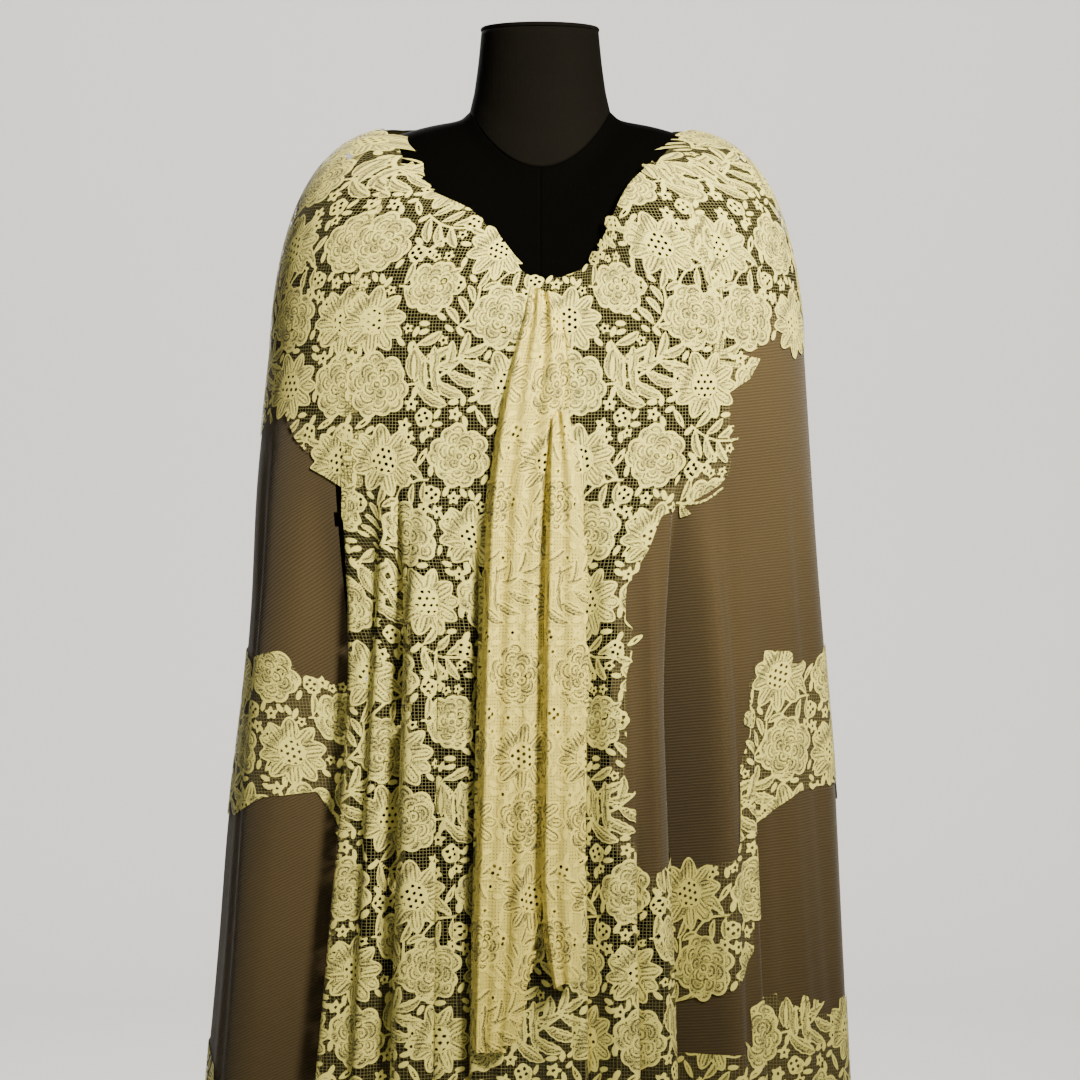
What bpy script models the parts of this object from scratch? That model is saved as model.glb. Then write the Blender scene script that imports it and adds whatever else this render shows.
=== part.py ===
"""A lace shawl hung round a black limbless dress form that stands on a round steel base.

The shawl is a ring of cloth. Brown twill makes its sides and back. Cream lace makes its yoke and
front, and more lace lies on the twill as patches and borders. Every piece of cloth is a flat
pattern piece, given in bearings and levels, that is laid on one draped surface.
"""

import math
from collections import namedtuple

import bmesh
import bpy
import numpy as np
from mathutils import Vector

OBJECT_NAME = "lace_shawl_on_dress_form"

# Tables are in millimetres and degrees. The front faces -Y, and a bearing runs from 0 there to 90 at +X.
MM = 0.001
FULL_TURN = 360.0

# Walls and clearances, in millimetres.
SEAM_GAP = 0.3
TWILL_WALL = 1.2
LACE_WALL = 1.2
LACE_LIFT = TWILL_WALL + SEAM_GAP
SEAM_DEGREES = 0.15

# The cloth's levels: from the yoke's ring up to the neckline a level is a nominal height.
NECK_LEVEL = 1400.0
RING_LEVEL = 1200.0
HEM_LEVEL = 430.0
RING_EXPONENT = 2.5
CROWN_PULL = 0.965

Section = namedtuple("Section", "height left right front back")
SECTIONS = (
    Section(430, 313, 285, 171, 160),
    Section(530, 305, 279, 166, 155),
    Section(650, 294, 273, 161, 148),
    Section(800, 282, 266, 154, 140),
    Section(955, 266, 257, 147, 132),
    Section(1085, 259, 249, 141, 125),
    Section(1200, 247, 242, 135, 118),
)

# Where the neckline lies at each bearing, and how far the yoke's crown stands above the ring.
Neck = namedtuple("Neck", "bearing across forward height crown")
NECKLINE = (
    Neck(-180, 0, -80, 1378, 100),
    Neck(-150, -54, -74, 1385, 112),
    Neck(-122, -106, -48, 1401, 165),
    Neck(-100, -137, -16, 1406, 190),
    Neck(-84, -142, 12, 1404, 190),
    Neck(-70, -128, 36, 1392.7, 180),
    Neck(-58, -114, 63, 1373, 150),
    Neck(-45, -98, 80, 1345, 120),
    Neck(-32, -57, 100, 1324, 90),
    Neck(-20, -36, 108, 1294, 60),
    Neck(-8, -12, 112, 1268, 40),
    Neck(8, 22, 112, 1266, 40),
    Neck(18, 44, 110, 1277, 50),
    Neck(28, 56, 107, 1301, 70),
    Neck(40, 75, 97, 1345, 110),
    Neck(52, 92, 80, 1364, 140),
    Neck(65, 113, 51, 1383.6, 170),
    Neck(80, 136, 18, 1401, 190),
    Neck(96, 138, -8, 1405, 190),
    Neck(122, 106, -48, 1401, 165),
    Neck(150, 54, -74, 1385, 112),
)

# Folds run down the cloth. Depth is outward, and lean is in degrees for each metre of drop.
Fold = namedtuple("Fold", "bearing before after depth begins full lean")
FOLDS = (
    Fold(-58.5, 7, 6.5, -46, 1150, 760, -5),
    Fold(-72, 9, 9, 9, 1240, 900, 0),
    Fold(-96, 12, 12, -9, 1200, 800, 3),
    Fold(-118, 12, 12, 10, 1180, 760, 0),
    Fold(-50.5, 5, 4, -11, 1140, 1000, -2),
    Fold(-44, 5, 4.5, -14, 1060, 880, 2),
    Fold(-35, 6, 6, 8, 1180, 900, 3),
    Fold(-22, 6, 7, 7, 1120, 800, 3),
    Fold(4, 6, 6, 6, 1150, 800, 0),
    Fold(17, 4, 5, -9, 1190, 900, 0),
    Fold(26, 5, 5, 5, 1100, 850, 0),
    Fold(45, 11, 3, -26, 1075, 860, 0),
    Fold(50, 3.5, 9, 7, 1075, 860, 0),
    Fold(64, 7, 7, -7, 1150, 850, -3),
    Fold(78, 9, 9, 7, 1180, 800, 0),
    Fold(101, 12, 12, -10, 1200, 760, 4),
    Fold(124, 13, 13, 11, 1180, 760, 0),
    Fold(146, 12, 11, -12, 1210, 740, -3),
    Fold(167, 12, 13, 12, 1220, 780, 2),
    Fold(186, 10, 12, -11, 1200, 820, 0),
    Fold(205, 12, 11, 11, 1210, 760, -3),
    Fold(224, 11, 12, -10, 1190, 780, 3),
)

# The drape's own grid: fine columns round the front, wide ones round the back.
FIRST_BEARING = -126
FRONT_START = -84
BACK_START = 84
LAST_BEARING = FIRST_BEARING + int(FULL_TURN)
SIDE_STEP = 7.0
FRONT_STEP = 3.0
BACK_STEP = 7.5
COLUMNS = np.concatenate(
    [
        np.arange(FIRST_BEARING, FRONT_START, SIDE_STEP),
        np.arange(FRONT_START, BACK_START, FRONT_STEP),
        np.arange(BACK_START, LAST_BEARING + 1, BACK_STEP),
    ]
)
YOKE_ROWS = 5
DRAPE_ROWS = 10
LEVELS = np.concatenate(
    [
        np.linspace(NECK_LEVEL, RING_LEVEL, YOKE_ROWS + 1),
        np.linspace(RING_LEVEL, HEM_LEVEL, DRAPE_ROWS + 1)[1:],
    ]
)
CUT_SNAP = 0.002

# Steps from which the drape's slopes are taken, and bearings that a front view is read at.
SLOPE_TURN = 0.4
SLOPE_DROP = 4.0
FRONT_BEARINGS = np.linspace(-89.0, 89.0, 357)

# Edges sharper than these angles stay sharp.
CLOTH_SHARP = 60
FORM_SHARP = 50
STAND_SHARP = 40

# Seams between the cloth's pieces, in bearings.
LEFT_BACK_SEAM = FIRST_BEARING
LEFT_FRONT_SEAM = -58
FRONT_EDGE = 16
RIGHT_SHOULDER_SEAM = 57
RIGHT_BACK_SEAM = 126
TUCK = 14.0
TUCK_UP = 20.0

# Outlines as seen from the front: across from the middle, and height.
RIGHT_YOKE_EDGE = (
    (201, 1194), (189, 1171), (172, 1160), (171, 1128), (172, 1088), (160, 1075), (134, 1059),
    (110, 1048), (97, 1016), (79, 988), (77, 959), (84, 952), (83, 928), (77, 909), (77, 838),
    (74, 800), (76, 768), (88, 756), (95, 731), (117, 747), (136, 734),
)
RIGHT_PATCH_EDGE = (
    (139, 734), (151, 742), (167, 748), (173, 785), (174, 826), (183, 856), (183, 902), (197, 914),
    (202, 922), (222, 921), (220, 911), (231, 909),
)
RIGHT_LEG_EDGE = (
    (232, 800), (222, 790), (212, 782), (193, 762), (200, 760), (192, 718), (191, 661), (180, 644),
    (167, 630), (151, 617), (139, 606),
)
RIGHT_HEM_EDGE = (
    (139, 575), (175, 575), (196, 562), (192, 617), (202, 621), (219, 627), (221, 619), (244, 608),
)
LEFT_YOKE_EDGE = ((-237, 1148), (-228, 1139), (-220, 1118), (-210, 1105), (-192, 1094))
LEFT_PATCH_TOP = ((-250, 914), (-224, 923), (-222, 909), (-209, 901), (-190, 905))
LEFT_PATCH_BOTTOM = ((-208, 780), (-214, 735), (-226, 800), (-243, 795), (-261, 781))

# Levels of the lace round the sides and back, as bearings and levels.
TWILL_TOP_LEFT = ((-114, 1300), (-102, 1285), (-95, 1240), (-92, 1170), (-90, 1140))
TWILL_TOP_RIGHT = ((114, 1300), (102, 1288), (95, 1260), (88, 1228), (78, 1224), (70, 1220))
TWILL_TOP_BACK = ((150, 1312), (180, 1316), (210, 1312))
TWILL_SEAM_TOP = 1300
YOKE_HEM_BACK = ((128, 1190), (140, 1150), (156, 1165), (172, 1110), (190, 1150), (206, 1120), (222, 1160))
BAND_TOP_BACK = ((132, 900), (150, 925), (168, 895), (186, 920), (204, 890), (222, 912))
BAND_FOOT_BACK = ((222, 790), (206, 815), (190, 780), (172, 810), (154, 785), (136, 805))
BORDER_BACK = ((132, 600), (150, 625), (168, 595), (186, 622), (204, 592), (222, 615))

# The two folds of lace that fall from the knot at the front: edges as seen from the front.
Ruffle = namedtuple("Ruffle", "height left right standoff wave")
UNDER_RUFFLE = (
    Ruffle(1260, -9, 12, 4.9, 0),
    Ruffle(1248, -12, 16, 5.2, 0),
    Ruffle(1232, -15, 20, 6.5, 1),
    Ruffle(1200, -24, 26, 8, 2),
    Ruffle(1150, -36, 26, 11, 4),
    Ruffle(1065, -48, 12, 14, 6),
    Ruffle(975, -52, 6, 16, 7),
    Ruffle(885, -55, 5, 17, 7),
    Ruffle(800, -57, 4, 18, 7),
    Ruffle(710, -60, 2, 18, 7),
    Ruffle(640, -61, -8, 18, 6),
    Ruffle(578, -61, -22, 18, 5),
)
OVER_RUFFLE = (
    Ruffle(1150, 10, 25, 16.4, 0),
    Ruffle(1100, 6, 36, 22, 2),
    Ruffle(1000, 3, 42, 26, 4),
    Ruffle(900, 1, 43, 28, 5),
    Ruffle(800, 0, 43, 28.5, 5),
    Ruffle(720, 0, 41, 28.5, 4),
    Ruffle(682, 6, 40, 28.5, 3),
    Ruffle(655, 14, 36, 28.5, 2),
    Ruffle(630, 22, 34, 28.5, 1),
)
RUFFLE_COLUMNS = 10
RUFFLE_WALL = 1.2
UNDER_WAVES = 2.5
OVER_WAVES = 1.5

# The form: each ring's height at its sides, front and back, its half width and its depths.
Ring = namedtuple("Ring", "side front back half ahead behind")
NECK_RINGS = (
    Ring(1423.0, 1366.5, 1402.0, 64.5, 69, 60),
    Ring(1440, 1400, 1420, 60.5, 61, 56),
    Ring(1465, 1445, 1455, 57, 57, 55),
    Ring(1495.7, 1495.7, 1495.7, 54, 55, 54),
)
TORSO_RINGS = (
    Ring(1422.6, 1366.1, 1401.6, 64.6, 69.2, 60.2),
    Ring(1414.5, 1348, 1394, 73, 76, 66),
    Ring(1409, 1325, 1378, 104, 86, 76),
    Ring(1399, 1300, 1352, 138, 95, 86),
    Ring(1384, 1270, 1325, 163, 103, 94),
    Ring(1360, 1240, 1300, 181, 110, 101),
    Ring(1325, 1205, 1265, 188, 118, 102),
    Ring(1270, 1172, 1222, 186, 122, 99),
    Ring(1200, 1130, 1165, 171, 119, 92),
    Ring(1110, 1070, 1090, 148, 104, 82),
    Ring(1010, 1000, 1005, 128, 88, 76),
    Ring(950, 950, 950, 124, 86, 78),
    Ring(880, 880, 880, 142, 94, 94),
    Ring(800, 800, 800, 164, 103, 112),
    Ring(720, 720, 720, 170, 104, 112),
    Ring(650, 650, 650, 164, 99, 104),
    Ring(632, 632, 632, 157, 94, 98),
    Ring(630, 630, 630, 148, 86, 90),
)
FORM_EXPONENT = 2.15
FORM_SIDES = 36
NECK_CAP_TOP = 1500.0
NECK_CAP_LIP = 0.6
CAP_BEVEL = 1.2

POLE_RADIUS = 12.5
POLE_SIDES = 20
COLLAR_RADIUS = 24.0
COLLAR_HEIGHT = 22.0
BASE_RADIUS = 190.0
BASE_THICKNESS = 14.0
BASE_SIDES = 44
BASE_BEVEL = 3.0
COLLAR_BEVEL = 2.0
BEVEL_STEPS = 2
BEVEL_ANGLE = 60

Finish = namedtuple("Finish", "colour roughness metallic")
TWILL = Finish((0.155, 0.100, 0.043), 0.85, 0.0)
LACE = Finish((0.70, 0.62, 0.36), 0.8, 0.0)
JERSEY = Finish((0.006, 0.006, 0.004), 0.8, 0.0)
STEEL = Finish((0.03, 0.03, 0.03), 0.4, 0.9)


def smooth_curve(at, knots, values):
    """Cubic through a table, whose slope at a knot is that of its neighbours."""
    knots = np.asarray(knots, float)
    values = np.asarray(values, float)
    slopes = np.gradient(values, knots)
    below = np.clip(np.searchsorted(knots, at, side="right") - 1, 0, len(knots) - 2)
    span = knots[below + 1] - knots[below]
    part = np.clip((at - knots[below]) / span, 0, 1)
    rising = part * part * (3 - 2 * part)
    start = values[below] * (1 - rising) + part * (1 - part) ** 2 * span * slopes[below]
    end = values[below + 1] * rising - part**2 * (1 - part) * span * slopes[below + 1]
    return start + end


def section_value(name, height):
    """A reach from the table of sections."""
    return smooth_curve(height, [row.height for row in SECTIONS], [getattr(row, name) for row in SECTIONS])


def ring_reach(bearing, height):
    """Distance from the axis to the smooth ring, a superellipse with its own reach each way."""
    turn = np.radians(bearing)
    side = np.where(np.sin(turn) > 0, section_value("right", height), section_value("left", height))
    depth = np.where(np.cos(turn) > 0, section_value("front", height), section_value("back", height))
    sides = (np.abs(np.sin(turn)) / side) ** RING_EXPONENT
    ends = (np.abs(np.cos(turn)) / depth) ** RING_EXPONENT
    return (sides + ends) ** (-1 / RING_EXPONENT)


def fold_depth(bearing, level):
    """How far the folds move the cloth outward: cosine humps that grow down the cloth."""
    moved = np.zeros(np.broadcast(bearing, level).shape)
    for fold in FOLDS:
        centre = fold.bearing + fold.lean * (fold.begins - level) * MM
        away = (bearing - centre + FULL_TURN / 2) % FULL_TURN - FULL_TURN / 2
        width = np.where(away < 0, fold.before, fold.after)
        hump = 0.5 + 0.5 * np.cos(math.pi * np.clip(away / width, -1, 1))
        grown = np.clip((fold.begins - level) / (fold.begins - fold.full), 0, 1)
        moved = moved + fold.depth * hump * grown * grown * (3 - 2 * grown)
    return moved


def neck_value(name, bearing):
    """A value from the neckline's table, which closes on itself."""
    turns = (-FULL_TURN, 0, FULL_TURN)
    rows = [row._replace(bearing=row.bearing + turn) for turn in turns for row in NECKLINE]
    return smooth_curve(bearing, [row.bearing for row in rows], [getattr(row, name) for row in rows])


def drape_point(bearing, level):
    """Point of the drape: rings below the yoke, and above them a curve up and in to the neckline."""
    height = np.minimum(level, RING_LEVEL)
    reach = ring_reach(bearing, height) + fold_depth(bearing, height)
    turn = np.radians(bearing)
    ring = np.stack([reach * np.sin(turn), -reach * np.cos(turn), height], axis=-1)
    crown = ring.copy()
    crown[..., 0] *= CROWN_PULL
    crown[..., 2] += neck_value("crown", bearing)
    neck = np.stack(
        [
            neck_value("across", bearing),
            -neck_value("forward", bearing),
            neck_value("height", bearing),
        ],
        axis=-1,
    )
    up = np.clip((level - RING_LEVEL) / (NECK_LEVEL - RING_LEVEL), 0, 1)[..., None]
    return (1 - up) ** 2 * ring + 2 * up * (1 - up) * crown + up**2 * neck


def drape_grid():
    """Points of the drape at its columns and levels, and its outward directions there."""
    bearing, level = np.meshgrid(COLUMNS, LEVELS)
    along = drape_point(bearing + SLOPE_TURN, level) - drape_point(bearing - SLOPE_TURN, level)
    higher = np.minimum(level + SLOPE_DROP, NECK_LEVEL)
    upward = drape_point(bearing, higher) - drape_point(bearing, level - SLOPE_DROP)
    outward = np.cross(along, upward)
    return drape_point(bearing, level), outward / np.linalg.norm(outward, axis=-1, keepdims=True)


def grid_place(bearing, level):
    """Column and row numbers, with their fractions, of a bearing and a level."""
    column = np.interp(bearing, COLUMNS, range(len(COLUMNS)))
    row = np.interp(-level, -LEVELS, range(len(LEVELS)))
    return float(column), float(row)


def on_facets(grid, column, row):
    """Value of the grid at a place on its flat triangles."""
    left = min(int(column), grid.shape[1] - 2)
    top = min(int(row), grid.shape[0] - 2)
    across = column - left
    down = row - top
    if across + down <= 1:
        corner = grid[top, left]
        return corner + across * (grid[top, left + 1] - corner) + down * (grid[top + 1, left] - corner)
    corner = grid[top + 1, left + 1]
    to_left = (1 - across) * (grid[top + 1, left] - corner)
    return corner + to_left + (1 - down) * (grid[top, left + 1] - corner)


def seen_from_front(across, height):
    """Bearing and level of the smooth ring's point that lies that far across."""
    reaches = ring_reach(FRONT_BEARINGS, np.full(FRONT_BEARINGS.shape, float(height)))
    places = reaches * np.sin(np.radians(FRONT_BEARINGS))
    return float(np.interp(across, places, FRONT_BEARINGS)), float(height)


def front_line(points):
    """A line of places from points as seen from the front."""
    return [seen_from_front(across, height) for across, height in points]


def pattern_slab(outline):
    """A flat piece in grid numbers, cut along the grid's lines, with a lower and an upper face."""
    slab = bmesh.new()
    corners = [slab.verts.new((*grid_place(bearing, level), 0.0)) for bearing, level in outline]
    slab.faces.new(corners)
    for direction in (Vector((1, 0, 0)), Vector((0, 1, 0)), Vector((1, 1, 0))):
        reach = [direction.dot(corner.co) for corner in slab.verts]
        for line in range(math.ceil(min(reach)), math.floor(max(reach)) + 1):
            bmesh.ops.bisect_plane(
                slab,
                geom=slab.verts[:] + slab.edges[:] + slab.faces[:],
                dist=CUT_SNAP,
                plane_co=direction * line / direction.length_squared,
                plane_no=direction,
            )
    bmesh.ops.triangulate(slab, faces=slab.faces[:])
    made = bmesh.ops.extrude_face_region(slab, geom=slab.faces[:])
    for item in made["geom"]:
        if isinstance(item, bmesh.types.BMVert):
            item.co.z = 1.0
    bmesh.ops.recalc_face_normals(slab, faces=slab.faces[:])
    # Rows count downwards, so the drape mirrors the flat piece.
    bmesh.ops.reverse_faces(slab, faces=slab.faces[:])
    return slab


def make_material(name, finish):
    """Principled material with one colour."""
    material = bpy.data.materials.new(name)
    material.use_nodes = True
    shader = material.node_tree.nodes["Principled BSDF"]
    shader.inputs["Base Color"].default_value = (*finish.colour, 1.0)
    shader.inputs["Roughness"].default_value = finish.roughness
    shader.inputs["Metallic"].default_value = finish.metallic
    material.diffuse_color = (*finish.colour, 1.0)
    return material


def add_object(name, mesh_maker, finish, collection, smooth_angle):
    """Object of a bmesh, in metres, with its own material."""
    mesh = bpy.data.meshes.new(name)
    mesh_maker.to_mesh(mesh)
    mesh_maker.free()
    mesh.materials.append(make_material(name, finish))
    mesh.shade_smooth()
    mesh.set_sharp_from_angle(angle=math.radians(smooth_angle))
    thing = bpy.data.objects.new(name, mesh)
    collection.objects.link(thing)
    return thing


def add_cloth(name, outline, lift, wall, finish, drape, collection):
    """Lays a pattern piece on the drape, lifted off it, with its wall outward."""
    points, outward = drape
    slab = pattern_slab(outline)
    for corner in slab.verts:
        column, row, face = corner.co
        spot = on_facets(points, column, row) + (lift + face * wall) * on_facets(outward, column, row)
        corner.co = Vector(spot * MM)
    return add_object(name, slab, finish, collection, CLOTH_SHARP)


def add_ruffle(name, rows, waves, finish, collection):
    """A hanging fold of lace in front of the drape: a waved sheet given its wall by Solidify."""
    sheet = bmesh.new()
    grid = []
    for height, left, right, standoff, wave in sorted(rows):
        line = []
        for column in range(RUFFLE_COLUMNS + 1):
            part = column / RUFFLE_COLUMNS
            across = left + part * (right - left)
            front = ruffle_seat(height)
            swing = wave * (0.5 - 0.5 * math.cos(2 * math.pi * waves * part))
            line.append(sheet.verts.new(Vector((across, front - standoff - swing, height)) * MM))
        grid.append(line)
    for lower, upper in zip(grid, grid[1:]):
        for column in range(RUFFLE_COLUMNS):
            sheet.faces.new((lower[column], lower[column + 1], upper[column + 1], upper[column]))
    thing = add_object(name, sheet, finish, collection, CLOTH_SHARP)
    wall = thing.modifiers.new("wall", "SOLIDIFY")
    wall.thickness = RUFFLE_WALL * MM
    wall.offset = 1.0
    return thing


def ruffle_seat(height):
    """Depth of the drape's smooth front behind the ruffles at a height."""
    if height < RING_LEVEL:
        return -float(section_value("front", height))
    levels = np.linspace(RING_LEVEL, NECK_LEVEL, 4 * YOKE_ROWS + 1)
    points = drape_point(np.zeros(levels.shape), levels)
    return float(np.interp(height, points[:, 2], points[:, 1]))


def add_form_piece(name, rings, finish, collection):
    """Loft through rings whose front, sides and back lie at their own heights, with flat ends."""
    body = bmesh.new()
    loops = []
    for ring in sorted(rings):
        loop = []
        for step in range(FORM_SIDES):
            turn = 2 * math.pi * step / FORM_SIDES
            sine = math.sin(turn)
            cosine = math.cos(turn)
            depth = ring.ahead if cosine > 0 else ring.behind
            end = ring.front if cosine > 0 else ring.back
            sides = (abs(sine) / ring.half) ** FORM_EXPONENT
            reach = (sides + (abs(cosine) / depth) ** FORM_EXPONENT) ** (-1 / FORM_EXPONENT)
            height = ring.side + (end - ring.side) * cosine * cosine
            loop.append(body.verts.new(Vector((reach * sine, -reach * cosine, height)) * MM))
        loops.append(loop)
    for lower, upper in zip(loops, loops[1:]):
        for step in range(FORM_SIDES):
            after = (step + 1) % FORM_SIDES
            body.faces.new((lower[step], lower[after], upper[after], upper[step]))
    for loop in (loops[0], loops[-1]):
        middle = body.verts.new(sum((corner.co for corner in loop), Vector()) / FORM_SIDES)
        for step in range(FORM_SIDES):
            body.faces.new((loop[step], loop[(step + 1) % FORM_SIDES], middle))
    bmesh.ops.recalc_face_normals(body, faces=body.faces[:])
    return add_object(name, body, finish, collection, FORM_SHARP)


def add_disc(name, radius, low, high, sides, bevel, finish, collection, stretch=1.0):
    """Upright round disc or rod between two heights, with bevelled rims."""
    disc = bmesh.new()
    bmesh.ops.create_cone(
        disc,
        cap_ends=True,
        segments=sides,
        radius1=radius * MM,
        radius2=radius * MM,
        depth=(high - low) * MM,
    )
    for corner in disc.verts:
        corner.co.y *= stretch
        corner.co.z += (low + high) / 2 * MM
    thing = add_object(name, disc, finish, collection, STAND_SHARP)
    if bevel:
        rim = thing.modifiers.new("rim", "BEVEL")
        rim.width = bevel * MM
        rim.segments = BEVEL_STEPS
        rim.limit_method = "ANGLE"
        rim.angle_limit = math.radians(BEVEL_ANGLE)
    return thing


def build_twill(drape, collection):
    """The brown twill: left side, right side and back."""
    gap = SEAM_DEGREES
    left = [(LEFT_BACK_SEAM + gap, TWILL_SEAM_TOP), *TWILL_TOP_LEFT]
    left += front_line(((-228, 1150), (-192, 1108)))
    left += [(LEFT_FRONT_SEAM - 1.5, 1090), (LEFT_FRONT_SEAM - 1.5, 700), (LEFT_FRONT_SEAM - 2.5, HEM_LEVEL)]
    left += [(LEFT_BACK_SEAM + gap, HEM_LEVEL)]
    add_cloth("twill_left_side", left, 0, TWILL_WALL, TWILL, drape, collection)

    right = front_line([(across - TUCK / 2, height + TUCK_UP) for across, height in RIGHT_YOKE_EDGE[:8]])
    right += front_line([(across - TUCK, height) for across, height in RIGHT_YOKE_EDGE[8:17]])
    right += front_line(((76, 742), (90, 714), (117, 722), (136, 712), (136, 600), (132, 555)))
    right += [(right[-1][0], HEM_LEVEL), (RIGHT_BACK_SEAM - gap, HEM_LEVEL)]
    right += [(RIGHT_BACK_SEAM - gap, TWILL_SEAM_TOP), *TWILL_TOP_RIGHT]
    add_cloth("twill_right_side", right, 0, TWILL_WALL, TWILL, drape, collection)

    back = [(RIGHT_BACK_SEAM + gap, TWILL_SEAM_TOP), *TWILL_TOP_BACK, (LAST_BEARING - gap, TWILL_SEAM_TOP)]
    back += [(LAST_BEARING - gap, HEM_LEVEL), (RIGHT_BACK_SEAM + gap, HEM_LEVEL)]
    add_cloth("twill_back", back, 0, TWILL_WALL, TWILL, drape, collection)


def build_lace_yoke(drape, collection):
    """The lace round the neck and shoulders, and the two lace fronts that fall to the hem."""
    gap = SEAM_DEGREES
    pieces = {}
    left_edge = [(-104, 1135), (-96, 1122), (-90, 1128), (-84, 1118), *front_line(LEFT_YOKE_EDGE)]
    pieces["lace_shoulder_left"] = [
        (LEFT_BACK_SEAM + gap, NECK_LEVEL), (LEFT_BACK_SEAM + gap, 1112), *left_edge,
        (LEFT_FRONT_SEAM - gap, 1075), (LEFT_FRONT_SEAM - gap, NECK_LEVEL),
    ]
    pieces["lace_front_left"] = [
        (LEFT_FRONT_SEAM + gap, NECK_LEVEL), (LEFT_FRONT_SEAM + gap, 1075), (LEFT_FRONT_SEAM + gap, 700),
        (LEFT_FRONT_SEAM - 1, HEM_LEVEL), (FRONT_EDGE - gap, HEM_LEVEL), (FRONT_EDGE - gap, NECK_LEVEL),
    ]
    right_edge = front_line(RIGHT_YOKE_EDGE)
    corner = front_line(((136, 600),))[0][0]
    pieces["lace_front_right"] = [
        (FRONT_EDGE + gap, NECK_LEVEL), (FRONT_EDGE + gap, HEM_LEVEL), (corner, HEM_LEVEL),
        *front_line(((136, 600),)), *right_edge[::-1], (RIGHT_SHOULDER_SEAM - gap, 1200),
        (RIGHT_SHOULDER_SEAM - gap, NECK_LEVEL),
    ]
    pieces["lace_shoulder_right"] = [
        (RIGHT_SHOULDER_SEAM + gap, NECK_LEVEL), (RIGHT_SHOULDER_SEAM + gap, 1201),
        *front_line(((208, 1203), (221, 1214))), (72, 1205), (80, 1196), (90, 1212), (104, 1196), (116, 1206),
        (RIGHT_BACK_SEAM - gap, 1189), (RIGHT_BACK_SEAM - gap, NECK_LEVEL),
    ]
    pieces["lace_shoulder_back"] = [
        (RIGHT_BACK_SEAM + gap, NECK_LEVEL), (RIGHT_BACK_SEAM + gap, 1189), *YOKE_HEM_BACK,
        (LAST_BEARING - gap, 1112), (LAST_BEARING - gap, NECK_LEVEL),
    ]
    for name, outline in pieces.items():
        add_cloth(name, outline, LACE_LIFT, LACE_WALL, LACE, drape, collection)


def build_lace_patches(drape, collection):
    """The lace laid on the twill: the band at hip height, the leg on the right, and the borders."""
    gap = SEAM_DEGREES
    pieces = {}
    pieces["lace_patch_left"] = [
        (LEFT_BACK_SEAM + gap, 905), (-114, 922), (-102, 905), (-90, 925), *front_line(LEFT_PATCH_TOP),
        (LEFT_FRONT_SEAM - 1, 905), (LEFT_FRONT_SEAM - 2, 790), *front_line(LEFT_PATCH_BOTTOM),
        (-92, 790), (-104, 802), (-115, 786), (LEFT_BACK_SEAM + gap, 800),
    ]
    pieces["lace_patch_right"] = [
        *front_line(RIGHT_PATCH_EDGE), (78, 924), (90, 932), (103, 912), (115, 925),
        (RIGHT_BACK_SEAM - gap, 908), (RIGHT_BACK_SEAM - gap, 800), (114, 786), (102, 806), (90, 796),
        (78, 806), *front_line(RIGHT_LEG_EDGE),
    ]
    pieces["lace_patch_back"] = [
        (RIGHT_BACK_SEAM + gap, 908), *BAND_TOP_BACK, (LAST_BEARING - gap, 905), (LAST_BEARING - gap, 800),
        *BAND_FOOT_BACK, (RIGHT_BACK_SEAM + gap, 800),
    ]
    start = front_line(((139, 575),))[0][0]
    pieces["lace_border_right"] = [
        (start, HEM_LEVEL), *front_line(RIGHT_HEM_EDGE), (74, 603), (86, 615), (98, 600), (112, 618),
        (RIGHT_BACK_SEAM - gap, 598), (RIGHT_BACK_SEAM - gap, HEM_LEVEL),
    ]
    pieces["lace_border_back"] = [
        (RIGHT_BACK_SEAM + gap, HEM_LEVEL), (RIGHT_BACK_SEAM + gap, 598), *BORDER_BACK,
        (LAST_BEARING - gap, 600), (LAST_BEARING - gap, HEM_LEVEL),
    ]
    pieces["lace_border_left"] = [
        (LEFT_BACK_SEAM + gap, HEM_LEVEL), (LEFT_BACK_SEAM + gap, 600), (-114, 612), (-102, 590), (-90, 585),
        (-80, 560), (-74, 520), (-66, 470), (-61.5, HEM_LEVEL),
    ]
    for name, outline in pieces.items():
        add_cloth(name, outline, LACE_LIFT, LACE_WALL, LACE, drape, collection)


def build_form(collection):
    """The dress form: torso, neck, neck cap, and its stand."""
    add_form_piece("form_torso", TORSO_RINGS, JERSEY, collection)
    add_form_piece("form_neck", NECK_RINGS, JERSEY, collection)
    top = NECK_RINGS[-1]
    cap_low = top.side + SEAM_GAP
    stretch = top.ahead / top.half
    radius = top.half + NECK_CAP_LIP
    cap_heights = (cap_low, NECK_CAP_TOP)
    add_disc("form_neck_cap", radius, *cap_heights, FORM_SIDES, CAP_BEVEL, JERSEY, collection, stretch)
    torso_foot = TORSO_RINGS[-1].side
    collar_low = torso_foot - SEAM_GAP - COLLAR_HEIGHT
    pole_low = BASE_THICKNESS + SEAM_GAP
    collar_heights = (collar_low, torso_foot - SEAM_GAP)
    add_disc("stand_collar", COLLAR_RADIUS, *collar_heights, POLE_SIDES, COLLAR_BEVEL, STEEL, collection)
    add_disc("stand_pole", POLE_RADIUS, pole_low, collar_low - SEAM_GAP, POLE_SIDES, 0, STEEL, collection)
    add_disc("stand_base", BASE_RADIUS, 0, BASE_THICKNESS, BASE_SIDES, BASE_BEVEL, STEEL, collection)


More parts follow.
